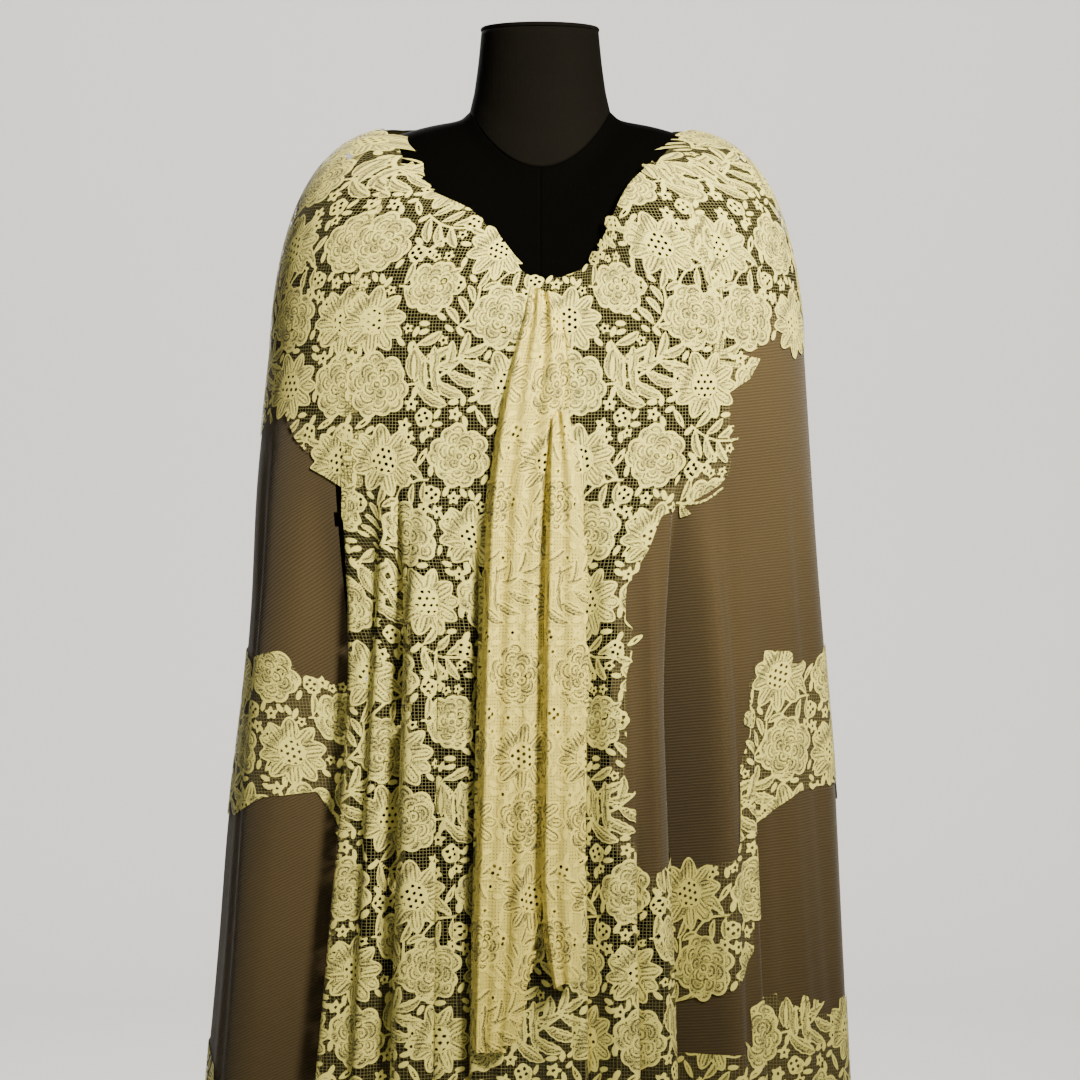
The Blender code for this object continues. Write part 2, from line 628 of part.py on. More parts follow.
def main():
    """Clears the scene and builds the shawl and its form."""
    for thing in list(bpy.data.objects):
        bpy.data.objects.remove(thing)
    collection = bpy.data.collections.new(OBJECT_NAME)
    bpy.context.scene.collection.children.link(collection)
    drape = drape_grid()
    build_twill(drape, collection)
    build_lace_yoke(drape, collection)
    build_lace_patches(drape, collection)
    add_ruffle("lace_ruffle_under", UNDER_RUFFLE, UNDER_WAVES, LACE, collection)
    add_ruffle("lace_ruffle_over", OVER_RUFFLE, OVER_WAVES, LACE, collection)
    build_form(collection)


main()
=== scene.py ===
"""Looks of the lace shawl on its dress form: cloth, lace, jersey, steel, studio light and camera.

The shawl's pieces are thin sheets on the same drape as the CAD solids. Lengths in the tables are in
millimetres and angles in degrees. The front faces -Y, and a bearing runs from 0 there to 90 at +X.
"""

import logging
import math
from dataclasses import dataclass, field, replace
from enum import Enum
from functools import partial

import bpy
import numpy as np
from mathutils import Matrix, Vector


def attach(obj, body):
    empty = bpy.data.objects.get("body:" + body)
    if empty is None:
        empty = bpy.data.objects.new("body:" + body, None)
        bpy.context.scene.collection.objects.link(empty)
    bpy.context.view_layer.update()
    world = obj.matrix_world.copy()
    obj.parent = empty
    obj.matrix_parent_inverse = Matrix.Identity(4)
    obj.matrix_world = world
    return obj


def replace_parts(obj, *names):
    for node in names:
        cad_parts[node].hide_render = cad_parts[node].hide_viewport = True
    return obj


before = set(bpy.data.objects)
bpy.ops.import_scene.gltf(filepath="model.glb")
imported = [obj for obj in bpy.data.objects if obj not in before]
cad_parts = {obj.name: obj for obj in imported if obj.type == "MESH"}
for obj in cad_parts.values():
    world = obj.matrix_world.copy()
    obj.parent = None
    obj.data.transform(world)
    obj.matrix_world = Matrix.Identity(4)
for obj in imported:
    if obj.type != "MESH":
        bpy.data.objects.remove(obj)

LOG = logging.getLogger("lace_shawl")
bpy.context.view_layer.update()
BODY = "root"
MM = 0.001
FULL_TURN = 360.0

# Levels of the drape: above the ring a level is a nominal height on the yoke.
NECK_LEVEL = 1400.0
RING_LEVEL = 1200.0
HEM_LEVEL = 430.0

# Heights of the sheets above the drape, inside the walls of the CAD solids.
TWILL_LIFT = 0.6
LACE_LIFT = 2.0
MIDDLE_LACE_LIFT = 2.25
UPPER_LACE_LIFT = 2.5

# Faces whose corners all lie further than this outside the cloth's edge are left out.
TRIM = -0.4

# Longest side of an outline's stretch, in degrees and in millimetres of level.
OUTLINE_STEP = (5.0, 30.0)

# Seams between the cloth's pieces, in bearings.
LEFT_BACK_SEAM = -126.0
LEFT_FRONT_SEAM = -58.0
FRONT_EDGE = 16.0
RIGHT_SHOULDER_SEAM = 57.0
RIGHT_BACK_SEAM = 126.0


def smooth_curve(at: np.ndarray, knots: list, values: list) -> np.ndarray:
    """Cubic through a table, whose slope at a knot is that of its neighbours.

    Args:
        at: Where the curve is read.
        knots: Places of the table's rows, rising.
        values: The table's values.

    Returns:
        The curve's values, of the shape of at.
    """
    knots = np.asarray(knots, float)
    values = np.asarray(values, float)
    slopes = np.gradient(values, knots)
    below = np.clip(np.searchsorted(knots, at, side="right") - 1, 0, len(knots) - 2)
    span = knots[below + 1] - knots[below]
    part = np.clip((at - knots[below]) / span, 0, 1)
    rising = part * part * (3 - 2 * part)
    start = values[below] * (1 - rising) + part * (1 - part) ** 2 * span * slopes[below]
    end = values[below + 1] * rising - part**2 * (1 - part) * span * slopes[below + 1]
    return start + end


def smooth_step(value: np.ndarray, low: float, high: float) -> np.ndarray:
    """Eases from 0 at low to 1 at high."""
    part = np.clip((value - low) / (high - low), 0, 1)
    return part * part * (3 - 2 * part)


def linear(hex_colour: str) -> tuple:
    """Turns an sRGB hex colour to the linear values that shaders take."""
    parts = [int(hex_colour[i : i + 2], 16) / 255 for i in (1, 3, 5)]
    return tuple(c / 12.92 if c <= 0.04045 else ((c + 0.055) / 1.055) ** 2.4 for c in parts)


EASE = {"interpolation_type": "SMOOTHSTEP"}

# The Mix node's sockets for two colours and for their mixture, by number.
MIX_FIRST, MIX_SECOND, MIXED = 6, 7, 2


def add_node(
    tree: bpy.types.NodeTree,
    kind: str,
    *sockets: object,
    out: int | str | None = 0,
    inputs: dict | None = None,
    **settings: object,
) -> bpy.types.NodeSocket | None:
    """Adds a shader node with its settings and its links.

    Args:
        tree: The material's node tree.
        kind: Blender's name of the node type, without its ShaderNode prefix.
        sockets: Values or output sockets for the node's inputs, in order.
        out: Which output to hand back, or None for a node that has none.
        inputs: Further values or output sockets, by the input's name or number.
        settings: The node's own settings.

    Returns:
        The chosen output socket.
    """
    node = tree.nodes.new(f"ShaderNode{kind}")
    for name, value in settings.items():
        setattr(node, name, value)
    for key, value in {**dict(enumerate(sockets)), **(inputs or {})}.items():
        if isinstance(value, bpy.types.NodeSocket):
            tree.links.new(value, node.inputs[key])
        else:
            node.inputs[key].default_value = value
    return None if out is None else node.outputs[out]


def new_finish(name: str) -> tuple:
    """Starts an empty node material.

    Args:
        name: The material's name.

    Returns:
        The material, and add_node bound to its tree.
    """
    material = bpy.data.materials.new(name)
    material.use_nodes = True
    material.node_tree.nodes.clear()
    return material, partial(add_node, material.node_tree)


@dataclass(frozen=True)
class LaceFinish:
    """Cream corded cotton lace: square net and dense clothwork, matte and thready to the eye.

    The net's real pitch is 2.3 mm. It is drawn coarser, so that its holes stay open in a render, and
    its thin threads are a shade darker than the clothwork.
    """

    name: str = "corded_cotton_lace"
    thread: str = "#E2D974"
    shade: str = "#4A4630"
    net_pitch: float = 3.0
    net_thread: float = 0.47
    net_tone: float = 0.8
    line_pitch: float = 3.6
    eyelet: float = 1.75

    def build(self) -> bpy.types.Material:
        """Threads of the net from the cut's coordinates, flowers from the chart's own attributes.

        Returns:
            The material.
        """
        material, add = new_finish(self.name)
        cut = add("UVMap", uv_map="cut")
        place = add("TexCoord", out="Object")
        fields = ("body", "ring", "spot", "sheer", "cover")
        body, ring, spot, sheer, cover = (add("Attribute", attribute_name=name, out="Fac") for name in fields)

        wander = add("TexNoise", cut, inputs={"Scale": 60.0, "Detail": 1.0})
        shaken = add("Math", wander, 1.2 * MM, operation="MULTIPLY")
        half, edge = self.net_pitch * MM / 2, self.net_thread * MM / 2
        threads = []
        for axis in (0, 1):
            along = add("Math", add("SeparateXYZ", cut, out=axis), shaken, operation="ADD")
            away = add("Math", along, half, operation="PINGPONG")
            threads.append(add("MapRange", away, edge - 0.1 * MM, edge + 0.1 * MM, 1, 0, **EASE))
        net = add("Math", *threads, operation="MAXIMUM")

        work = add("MapRange", body, -0.3, 0.3, 0, 1, **EASE)
        hole = add("MapRange", spot, self.eyelet - 0.3, self.eyelet + 0.3, 0, 1, **EASE)
        solid = add("Math", add("Math", work, net, operation="MAXIMUM"), hole, operation="MULTIPLY")
        trimmed = add("MapRange", cover, -0.25, 0.25, 0, 1, **EASE)
        alpha = add("Math", solid, trimmed, operation="MULTIPLY")

        away = add("Math", ring, self.line_pitch / 2, operation="PINGPONG")
        line = add("MapRange", away, 0.45, 1.25, 1, 0, **EASE)
        cord = add("Math", line, add("MapRange", body, 1.2, 1.9, 0, 1, **EASE), operation="MULTIPLY")
        cloud = add("TexNoise", place, inputs={"Scale": 9.0, "Detail": 3.0})
        grain = add("TexNoise", cut, inputs={"Scale": 800.0, "Detail": 2.0})
        stipple = add("MapRange", grain, 0.42, 0.6, 0.4, 1, **EASE)
        cord = add("Math", cord, stipple, operation="MULTIPLY")
        inside = add("MapRange", body, 0.8, 1.6, 0, 1, **EASE)
        thin = add("Math", add("Math", sheer, inside, operation="MULTIPLY"), stipple, operation="MULTIPLY")
        bare = add("Math", 1.0, work, operation="SUBTRACT")
        tone = -0.12
        for part, share in ((cord, 1.0), (thin, 0.75), (bare, self.net_tone), (cloud, 0.12), (grain, 0.3)):
            tone = add("Math", add("Math", part, share, operation="MULTIPLY"), tone, operation="ADD")
        colours = {MIX_FIRST: (*linear(self.thread), 1), MIX_SECOND: (*linear(self.shade), 1)}
        colour = add("Mix", tone, inputs=colours, data_type="RGBA", clamp_factor=True, out=MIXED)

        height = work
        for part, share in ((cord, -1.0), (thin, -0.5), (grain, 0.6)):
            height = add("Math", height, add("Math", part, share, operation="MULTIPLY"), operation="ADD")
        bump = add("Bump", inputs={"Height": height, "Strength": 0.8, "Distance": 0.7 * MM})
        sockets = {"Base Color": colour, "Alpha": alpha, "Normal": bump, "Roughness": 0.85}
        sockets |= {"Specular IOR Level": 0.25, "Sheen Weight": 0.1}
        add("OutputMaterial", add("BsdfPrincipled", inputs=sockets), out=None)
        return material


@dataclass(frozen=True)
class TwillFinish:
    """Fine brown wool twill: matte and soft, with ribs that the eye reads as faint lines.

    The ribs are drawn coarser than the real 0.8 mm, so that they show as they do in a photograph.
    """

    name: str = "brown_wool_twill"
    light: str = "#554729"
    dark: str = "#201A11"
    rib_pitch: float = 2.7
    slope: float = 0.1

    def build(self) -> bpy.types.Material:
        """Ribs run along the cut, a little aslant, and are broken by the weft's own threads.

        Returns:
            The material.
        """
        material, add = new_finish(self.name)
        cut = add("UVMap", uv_map="cut")
        place = add("TexCoord", out="Object")
        slant = add("Math", add("SeparateXYZ", cut, out=0), self.slope, operation="MULTIPLY")
        wander = add("Math", add("TexNoise", cut, inputs={"Scale": 30.0}), 1.5 * MM, operation="MULTIPLY")
        rib = add("Math", add("SeparateXYZ", cut, out=1), slant, operation="ADD")
        rib = add("Math", rib, wander, operation="ADD")
        away = add("Math", rib, self.rib_pitch * MM / 2, operation="PINGPONG")
        groove = add("MapRange", away, 0.1 * MM, 1.2 * MM, 1, 0, **EASE)
        grain = add("TexNoise", cut, inputs={"Scale": 900.0, "Detail": 2.0})
        cloud = add("TexNoise", place, inputs={"Scale": 7.0, "Detail": 3.0})
        tone = -0.1
        for part, share in ((groove, 0.28), (grain, 0.6), (cloud, 0.3)):
            tone = add("Math", add("Math", part, share, operation="MULTIPLY"), tone, operation="ADD")
        colours = {MIX_FIRST: (*linear(self.light), 1), MIX_SECOND: (*linear(self.dark), 1)}
        colour = add("Mix", tone, inputs=colours, data_type="RGBA", clamp_factor=True, out=MIXED)
        height = add("Math", add("Math", grain, 0.7, operation="MULTIPLY"), groove, operation="SUBTRACT")
        bump = add("Bump", inputs={"Height": height, "Strength": 0.6, "Distance": 0.4 * MM})
        sockets = {"Base Color": colour, "Normal": bump, "Roughness": 0.88}
        sockets |= {"Specular IOR Level": 0.2, "Sheen Weight": 0.12}
        add("OutputMaterial", add("BsdfPrincipled", inputs=sockets), out=None)
        return material


@dataclass(frozen=True)
class JerseyFinish:
    """Black cotton jersey stretched over a hard form: deep and matte, with a faint knit grain."""

    name: str
    light: str
    dark: str
    stitch_pitch: float = 1.2

    def build(self) -> bpy.types.Material:
        """Fine upright wales with a soft cloudiness.

        Returns:
            The material.
        """
        material, add = new_finish(self.name)
        place = add("TexCoord", out="Object")
        grain = add("TexNoise", place, inputs={"Scale": 700.0, "Detail": 3.0})
        cloud = add("TexNoise", place, inputs={"Scale": 14.0, "Detail": 3.0})
        half = self.stitch_pitch * MM / 2
        away = add("Math", add("SeparateXYZ", place, out=0), half, operation="PINGPONG")
        wale = add("MapRange", away, 0, half, 0, 1, **EASE)
        both = add("Math", grain, cloud, operation="ADD")
        tone = add("Math", both, 0.5, operation="MULTIPLY")
        colours = {MIX_FIRST: (*linear(self.light), 1), MIX_SECOND: (*linear(self.dark), 1)}
        colour = add("Mix", tone, inputs=colours, data_type="RGBA", clamp_factor=True, out=MIXED)
        height = add("Math", wale, grain, operation="ADD")
        bump = add("Bump", inputs={"Height": height, "Strength": 0.3, "Distance": 0.2 * MM})
        sockets = {"Base Color": colour, "Normal": bump, "Roughness": 0.9}
        sockets |= {"Specular IOR Level": 0.03}
        add("OutputMaterial", add("BsdfPrincipled", inputs=sockets), out=None)
        return material


@dataclass(frozen=True)
class SteelFinish:
    """Black powder-coated steel: satin, with the fine orange-peel grain of the coat."""

    name: str = "powder_coated_steel"
    colour: str = "#1C1B1A"

    def build(self) -> bpy.types.Material:
        """Satin coat whose roughness drifts a little.

        Returns:
            The material.
        """
        material, add = new_finish(self.name)
        place = add("TexCoord", out="Object")
        peel = add("TexNoise", place, inputs={"Scale": 450.0, "Detail": 2.0})
        cloud = add("TexNoise", place, inputs={"Scale": 12.0, "Detail": 4.0})
        rough = add("MapRange", cloud, 0.3, 0.7, 0.38, 0.52, **EASE)
        bump = add("Bump", inputs={"Height": peel, "Strength": 0.25, "Distance": 0.15 * MM})
        sockets = {"Base Color": (*linear(self.colour), 1), "Normal": bump, "Roughness": rough}
        add("OutputMaterial", add("BsdfPrincipled", inputs=sockets), out=None)
        return material


@dataclass(frozen=True)
class PaintFinish:
    """Matte painted studio surface, of one even tone."""

    name: str
    colour: str

    def build(self) -> bpy.types.Material:
        """Plain matte surface.

        Returns:
            The material.
        """
        material, add = new_finish(self.name)
        sockets = {"Base Color": (*linear(self.colour), 1), "Roughness": 0.95}
        add("OutputMaterial", add("BsdfPrincipled", inputs=sockets), out=None)
        return material


@dataclass(frozen=True)
class Section:
    """Reach of the drape's smooth ring at one height."""

    height: float
    left: float
    right: float
    front: float
    back: float


@dataclass(frozen=True)
class Neck:
    """A place of the neckline, and how far the yoke's crown stands above the ring there."""

    bearing: float
    across: float
    forward: float
    height: float
    crown: float


@dataclass(frozen=True)
class Fold:
    """A fold that grows down the cloth: widths either side, depth outward, lean per metre of drop."""

    bearing: float
    before: float
    after: float
    depth: float
    begins: float
    full: float
    lean: float


@dataclass(frozen=True)
class Crease:
    """A soft trough or ridge between two levels."""

    bearing: float
    width: float
    depth: float
    top: float
    foot: float
    lean: float


SECTIONS = (
    Section(430, 313, 285, 171, 160),
    Section(530, 305, 279, 166, 155),
    Section(650, 294, 273, 161, 148),
    Section(800, 282, 266, 154, 140),
    Section(955, 266, 257, 147, 132),
    Section(1085, 259, 249, 141, 125),
    Section(1200, 247, 242, 135, 118),
)

NECKLINE = (
    Neck(-180, 0, -80, 1378, 100),
    Neck(-150, -54, -74, 1385, 112),
    Neck(-122, -106, -48, 1401, 165),
    Neck(-100, -137, -16, 1406, 190),
    Neck(-84, -142, 12, 1404, 190),
    Neck(-70, -128, 36, 1392.7, 180),
    Neck(-58, -114, 63, 1373, 150),
    Neck(-45, -98, 80, 1345, 120),
    Neck(-32, -57, 100, 1324, 90),
    Neck(-20, -36, 108, 1294, 60),
    Neck(-8, -12, 112, 1268, 40),
    Neck(8, 22, 112, 1266, 40),
    Neck(18, 44, 110, 1277, 50),
    Neck(28, 56, 107, 1301, 70),
    Neck(40, 75, 97, 1345, 110),
    Neck(52, 92, 80, 1364, 140),
    Neck(65, 113, 51, 1383.6, 170),
    Neck(80, 136, 18, 1401, 190),
    Neck(96, 138, -8, 1405, 190),
    Neck(122, 106, -48, 1401, 165),
    Neck(150, 54, -74, 1385, 112),
)

FOLDS = (
    Fold(-58.5, 7, 6.5, -46, 1150, 760, -5),
    Fold(-72, 9, 9, 9, 1240, 900, 0),
    Fold(-96, 12, 12, -9, 1200, 800, 3),
    Fold(-118, 12, 12, 10, 1180, 760, 0),
    Fold(-50.5, 5, 4, -11, 1140, 1000, -2),
    Fold(-44, 5, 4.5, -14, 1060, 880, 2),
    Fold(-35, 6, 6, 8, 1180, 900, 3),
    Fold(-22, 6, 7, 7, 1120, 800, 3),
    Fold(4, 6, 6, 6, 1150, 800, 0),
    Fold(17, 4, 5, -9, 1190, 900, 0),
    Fold(26, 5, 5, 5, 1100, 850, 0),
    Fold(45, 11, 3, -26, 1075, 860, 0),
    Fold(50, 3.5, 9, 7, 1075, 860, 0),
    Fold(64, 7, 7, -7, 1150, 850, -3),
    Fold(78, 9, 9, 7, 1180, 800, 0),
    Fold(101, 12, 12, -10, 1200, 760, 4),
    Fold(124, 13, 13, 11, 1180, 760, 0),
    Fold(146, 12, 11, -12, 1210, 740, -3),
    Fold(167, 12, 13, 12, 1220, 780, 2),
    Fold(186, 10, 12, -11, 1200, 820, 0),
    Fold(205, 12, 11, 11, 1210, 760, -3),
    Fold(224, 11, 12, -10, 1190, 780, 3),
)

CREASES = (
    Crease(-63, 4.0, -9.0, 1120, 380, -4),
    Crease(-54, 1.7, -4.0, 1120, 600, -3),
    Crease(-52, 5.5, -9.0, 1120, 380, 0),
    Crease(-50, 2.4, 4.0, 1150, 380, -3),
    Crease(-44.8, 2.6, -20.0, 1120, 380, 0),
    Crease(-37, 4.0, 8.0, 1100, 380, 0),
    Crease(-33, 1.4, -4.0, 1090, 480, 5),
    Crease(-28.5, 2.0, 4.0, 990, 380, 2),
    Crease(-21.8, 2.3, -21.0, 1080, 380, 0),
    Crease(-12, 1.8, 3.0, 900, 380, 0),
    Crease(10, 2.0, -2.5, 1000, 380, 0),
    Crease(15.4, 1.5, -10.0, 1140, 380, 0),
    Crease(22, 3.0, 5.0, 1080, 380, 0),
    Crease(29.5, 1.6, -9.0, 830, 380, 0),
    Crease(35, 2.4, 3.0, 1080, 380, -2),
    Crease(43.6, 2.4, -18.0, 1130, 380, 0),
    Crease(49, 3.0, 6.0, 1110, 380, 0),
    Crease(55, 2.0, -3.4, 1120, 480, -3),
    Crease(59.5, 2.0, -8.0, 930, 380, 0),
    Crease(66, 2.6, 3.6, 930, 380, 2),
    Crease(72, 3.0, -3.2, 1140, 640, 5),
    Crease(84, 3.6, 2.8, 960, 380, 0),
    Crease(-77, 3.0, -4.0, 1160, 480, 4),
    Crease(-86, 3.0, 2.8, 900, 380, 0),
    Crease(-98, 2.8, -10.0, 1020, 380, 0),
    Crease(98, 2.8, -9.0, 980, 380, 2),
    Crease(112, 3.4, -3.8, 1080, 430, 3),
    Crease(130, 3.6, 4.6, 1150, 520, -4),
    Crease(138, 2.8, -3.4, 960, 380, 0),
    Crease(151, 2.4, -12.0, 1040, 380, 2),
    Crease(157, 3.2, -4.4, 1060, 380, 3),
    Crease(165, 3.0, 3.6, 920, 380, 0),
    Crease(177, 3.4, 4.2, 1160, 560, 4),
    Crease(187, 2.6, -12.0, 1080, 380, -2),
    Crease(197, 3.6, -4.4, 1120, 500, -3),
    Crease(208, 2.4, -11.0, 1000, 380, 1),
    Crease(216, 3.2, 4.8, 1100, 430, 0),
    Crease(228, 3.0, -3.4, 1010, 380, 2),
)


@dataclass
class Drape:
    """The one surface that all the cloth lies on, and its flat cut."""

    ring_exponent: float = 2.5
    crown_pull: float = 0.965
    reference_level: float = 800.0
    ease: float = 1.03
    crease_fade: float = 160.0
    crease_tail: float = 20.0
    bearings: np.ndarray = field(init=False)
    levels: np.ndarray = field(init=False)
    lengths: np.ndarray = field(init=False)
    climbs: np.ndarray = field(init=False)

    def __post_init__(self) -> None:
        """Measures the cut: row lengths from the middle of the front, and climbs from the ring's level."""
        self.bearings = np.arange(-150.0, 260.0, 0.5)
        below = [400, 430, 520, 610, 700, 800, 900, 980, 1050, 1100, 1150]
        self.levels = np.array([*below, *range(1200, 1450, 25)], float)
        middle = int(np.argmin(np.abs(self.bearings)))
        bearings, levels = np.meshgrid(self.bearings, self.levels)
        steps = np.linalg.norm(np.diff(self.points(bearings, levels), axis=1), axis=2)
        along = np.pad(np.cumsum(steps, axis=1), ((0, 0), (1, 0)))
        self.lengths = (along - along[:, [middle]]) * self.ease
        rises = np.linalg.norm(np.diff(self.smooth_points(bearings, levels), axis=0), axis=2)
        climbs = np.pad(np.cumsum(rises, axis=0), ((1, 0), (0, 0)))
        self.climbs = climbs - climbs[list(self.levels).index(RING_LEVEL)]

    @property
    def reference_lengths(self) -> np.ndarray:
        """Row lengths at the level by which the grids' columns are spaced."""
        return self.lengths[list(self.levels).index(self.reference_level)]

    def value(self, name: str, height: np.ndarray) -> np.ndarray:
        """A reach from the table of sections."""
        knots = [row.height for row in SECTIONS]
        return smooth_curve(height, knots, [getattr(row, name) for row in SECTIONS])

    def ring_reach(self, bearing: np.ndarray, height: np.ndarray) -> np.ndarray:
        """Distance from the axis to a superellipse that has its own reach each way.

        Each share of the reach, raised to the exponent, adds up to one.

        Args:
            bearing: Bearings in degrees.
            height: Heights, of the same shape.

        Returns:
            Distances, in millimetres.
        """
        turn = np.radians(bearing)
        side = np.where(np.sin(turn) > 0, self.value("right", height), self.value("left", height))
        depth = np.where(np.cos(turn) > 0, self.value("front", height), self.value("back", height))
        sides = (np.abs(np.sin(turn)) / side) ** self.ring_exponent
        ends = (np.abs(np.cos(turn)) / depth) ** self.ring_exponent
        return (sides + ends) ** (-1 / self.ring_exponent)

    def fold_depth(self, bearing: np.ndarray, level: np.ndarray) -> np.ndarray:
        """Sum of cosine humps that grow down the cloth, and of shorter soft creases.

        A crease is a bell of the bearing that eases in at its top and out at its foot.

        Args:
            bearing: Bearings in degrees.
            level: Levels, of the same shape.

        Returns:
            How far the cloth stands out from the smooth ring.
        """
        moved = np.zeros(np.broadcast(bearing, level).shape)
        for fold in FOLDS:
            centre = fold.bearing + fold.lean * (fold.begins - level) * MM
            away = (bearing - centre + FULL_TURN / 2) % FULL_TURN - FULL_TURN / 2
            width = np.where(away < 0, fold.before, fold.after)
            hump = 0.5 + 0.5 * np.cos(math.pi * np.clip(away / width, -1, 1))
            moved = moved + fold.depth * hump * smooth_step(-level, -fold.begins, -fold.full)
        for crease in CREASES:
            centre = crease.bearing + crease.lean * (crease.top - level) * MM
            away = (bearing - centre + FULL_TURN / 2) % FULL_TURN - FULL_TURN / 2
            hump = np.exp(-((away / crease.width) ** 2) * 2)
            begun = smooth_step(-level, -crease.top, -crease.top + self.crease_fade)
            ended = smooth_step(level, crease.foot - self.crease_fade, crease.foot + self.crease_tail)
            moved = moved + crease.depth * hump * begun * ended
        return moved

    def neck_value(self, name: str, bearing: np.ndarray) -> np.ndarray:
        """A value from the neckline's table, which closes on itself.

        Args:
            name: The table's column.
            bearing: Bearings in degrees.

        Returns:
            The column's values there.
        """
        turns = (-FULL_TURN, 0, FULL_TURN)
        knots = [row.bearing + turn for turn in turns for row in NECKLINE]
        return smooth_curve(bearing, knots, [getattr(row, name) for _ in turns for row in NECKLINE])

    def points(self, bearing: np.ndarray, level: np.ndarray, folds: bool = True) -> np.ndarray:
        """Rings below the yoke, and above them a quadratic curve up and in to the neckline.

        Args:
            bearing: Bearings in degrees.
            level: Levels, of the same shape.
            folds: Whether the folds and creases are in.

        Returns:
            Places in millimetres, three values each.
        """
        height = np.minimum(level, RING_LEVEL)
        reach = self.ring_reach(bearing, height)
        if folds:
            reach = reach + self.fold_depth(bearing, height)
        turn = np.radians(bearing)
        ring = np.stack([reach * np.sin(turn), -reach * np.cos(turn), height], axis=-1)
        crown = ring.copy()
        crown[..., 0] *= self.crown_pull
        crown[..., 2] += self.neck_value("crown", bearing)
        across, forward, top = (self.neck_value(name, bearing) for name in ("across", "forward", "height"))
        neck = np.stack([across, -forward, top], axis=-1)
        up = np.maximum((level - RING_LEVEL) / (NECK_LEVEL - RING_LEVEL), 0)[..., None]
        return (1 - up) ** 2 * ring + 2 * up * (1 - up) * crown + up**2 * neck

    def smooth_points(self, bearing: np.ndarray, level: np.ndarray) -> np.ndarray:
        """The same surface with no folds."""
        return self.points(bearing, level, folds=False)

    def lifted(self, bearing: np.ndarray, level: np.ndarray, lift: float) -> np.ndarray:
        """Points moved out along the surface's own direction, the cross of its two slopes.

        Args:
            bearing: Bearings in degrees.
            level: Levels, of the same shape.
            lift: How far out, in millimetres.

        Returns:
            Places in millimetres, three values each.
        """
        turn, drop = 0.15, 1.5
        along = self.points(bearing + turn, level) - self.points(bearing - turn, level)
        upward = self.points(bearing, level + drop) - self.points(bearing, level - drop)
        out = np.cross(along, upward)
        return self.points(bearing, level) + lift * out / np.linalg.norm(out, axis=-1, keepdims=True)

    def table_value(self, table: np.ndarray, bearing: np.ndarray, level: np.ndarray) -> np.ndarray:
        """Bilinear value of a table by level and bearing.

        Args:
            table: A row for each level and a column for each bearing.
            bearing: Bearings in degrees.
            level: Levels, of the same shape.

        Returns:
            The table's values there.
        """
        column = np.interp(bearing, self.bearings, np.arange(len(self.bearings)))
        row = np.interp(level, self.levels, np.arange(len(self.levels)))
        left = np.minimum(column.astype(int), len(self.bearings) - 2)
        low = np.minimum(row.astype(int), len(self.levels) - 2)
        across, up = column - left, row - low
        foot = table[low, left] * (1 - across) + table[low, left + 1] * across
        head = table[low + 1, left] * (1 - across) + table[low + 1, left + 1] * across
        return foot * (1 - up) + head * up

    def flat(self, bearing: np.ndarray, level: np.ndarray, middle: float) -> np.ndarray:
        """Place in the flat cut, in millimetres.

        Its first value runs along the row from the piece's middle, and its second down from the ring.

        Args:
            bearing: Bearings in degrees.
            level: Levels, of the same shape.
            middle: Bearing of the piece's middle, whose threads run straight down.

        Returns:
            Flat places, two values each.
        """
        across = self.table_value(self.lengths, bearing, level)
        across = across - self.table_value(self.lengths, np.full(level.shape, middle), level)
        across = across + np.interp(middle, self.bearings, self.reference_lengths)
        return np.stack([across, -self.table_value(self.climbs, bearing, level)], axis=-1)

    def front_line(self, points: tuple) -> list:
        """Bearings and levels of points as seen from the front, on the smooth ring at their height.

        Args:
            points: Pairs of a distance to the right of the middle and a height, in millimetres.

        Returns:
            Pairs of a bearing and a level.
        """
        bearings = np.linspace(-89, 89, 357)
        found = []
        for across, height in points:
            reaches = self.ring_reach(bearings, np.full(bearings.shape, float(height)))
            places = reaches * np.sin(np.radians(bearings))
            found.append((float(np.interp(across, places, bearings)), float(height)))
        return found


def divided(corners: np.ndarray) -> np.ndarray:
    """Sets points along an outline's sides, at most 5 degrees or 30 mm of level apart.

    Args:
        corners: The outline's corners, as bearings and levels.

    Returns:
        The corners, with even points between them.
    """
    points = []
    for start, end in zip(corners, np.roll(corners, -1, axis=0)):
        count = max(math.ceil(np.max(np.abs(end - start) / OUTLINE_STEP)), 1)
        points.append(start + (end - start) * np.linspace(0, 1, count, endpoint=False)[:, None])
    return np.concatenate(points)


def outline_distance(outline: np.ndarray, places: np.ndarray) -> np.ndarray:
    """Distance to a closed outline, positive inside it.

    Args:
        outline: Corners of the outline, in order.
        places: Points in the same plane.

    Returns:
        The least distance to any side, with the sign of an even-odd count of crossings.
    """
    nearest = np.full(len(places), np.inf)
    inside = np.zeros(len(places), bool)
    x, y = places[:, 0], places[:, 1]
    for (ax, ay), (bx, by) in zip(outline, np.roll(outline, -1, axis=0)):
        dx, dy = bx - ax, by - ay
        part = np.clip(((x - ax) * dx + (y - ay) * dy) / max(dx * dx + dy * dy, 1e-9), 0, 1)
        nearest = np.minimum(nearest, np.hypot(x - ax - part * dx, y - ay - part * dy))
        crosses = (ay > y) != (by > y)
        inside ^= crosses & (x < ax + (y - ay) * dx / (dy if abs(dy) > 1e-9 else 1e-9))
    return np.where(inside, nearest, -nearest)


class Flower(Enum):
    """Kinds of motif that the lace's chart places."""

    ROSE = "rose"
    DAISY = "daisy"
    LEAF = "leaf"
    STEM = "stem"
    BUD = "bud"
    BLOSSOM = "blossom"
    SLIT = "slit"
    BEAN = "bean"


# Distance to an eyelet where none is near. These distances are in millimetres.
FAR = 9.0
# Inner distance where a motif's own petals don't reach, and where no motif is near.
OUTSIDE = -72.0
BARE = -60.0
# Half of the cords' pitch, where no cord shows.
MID_CORD = 1.8
# Share of its size that a motif may reach, and how far a stem bows.
SPREAD = 1.25
STEM_BOW = 7.0


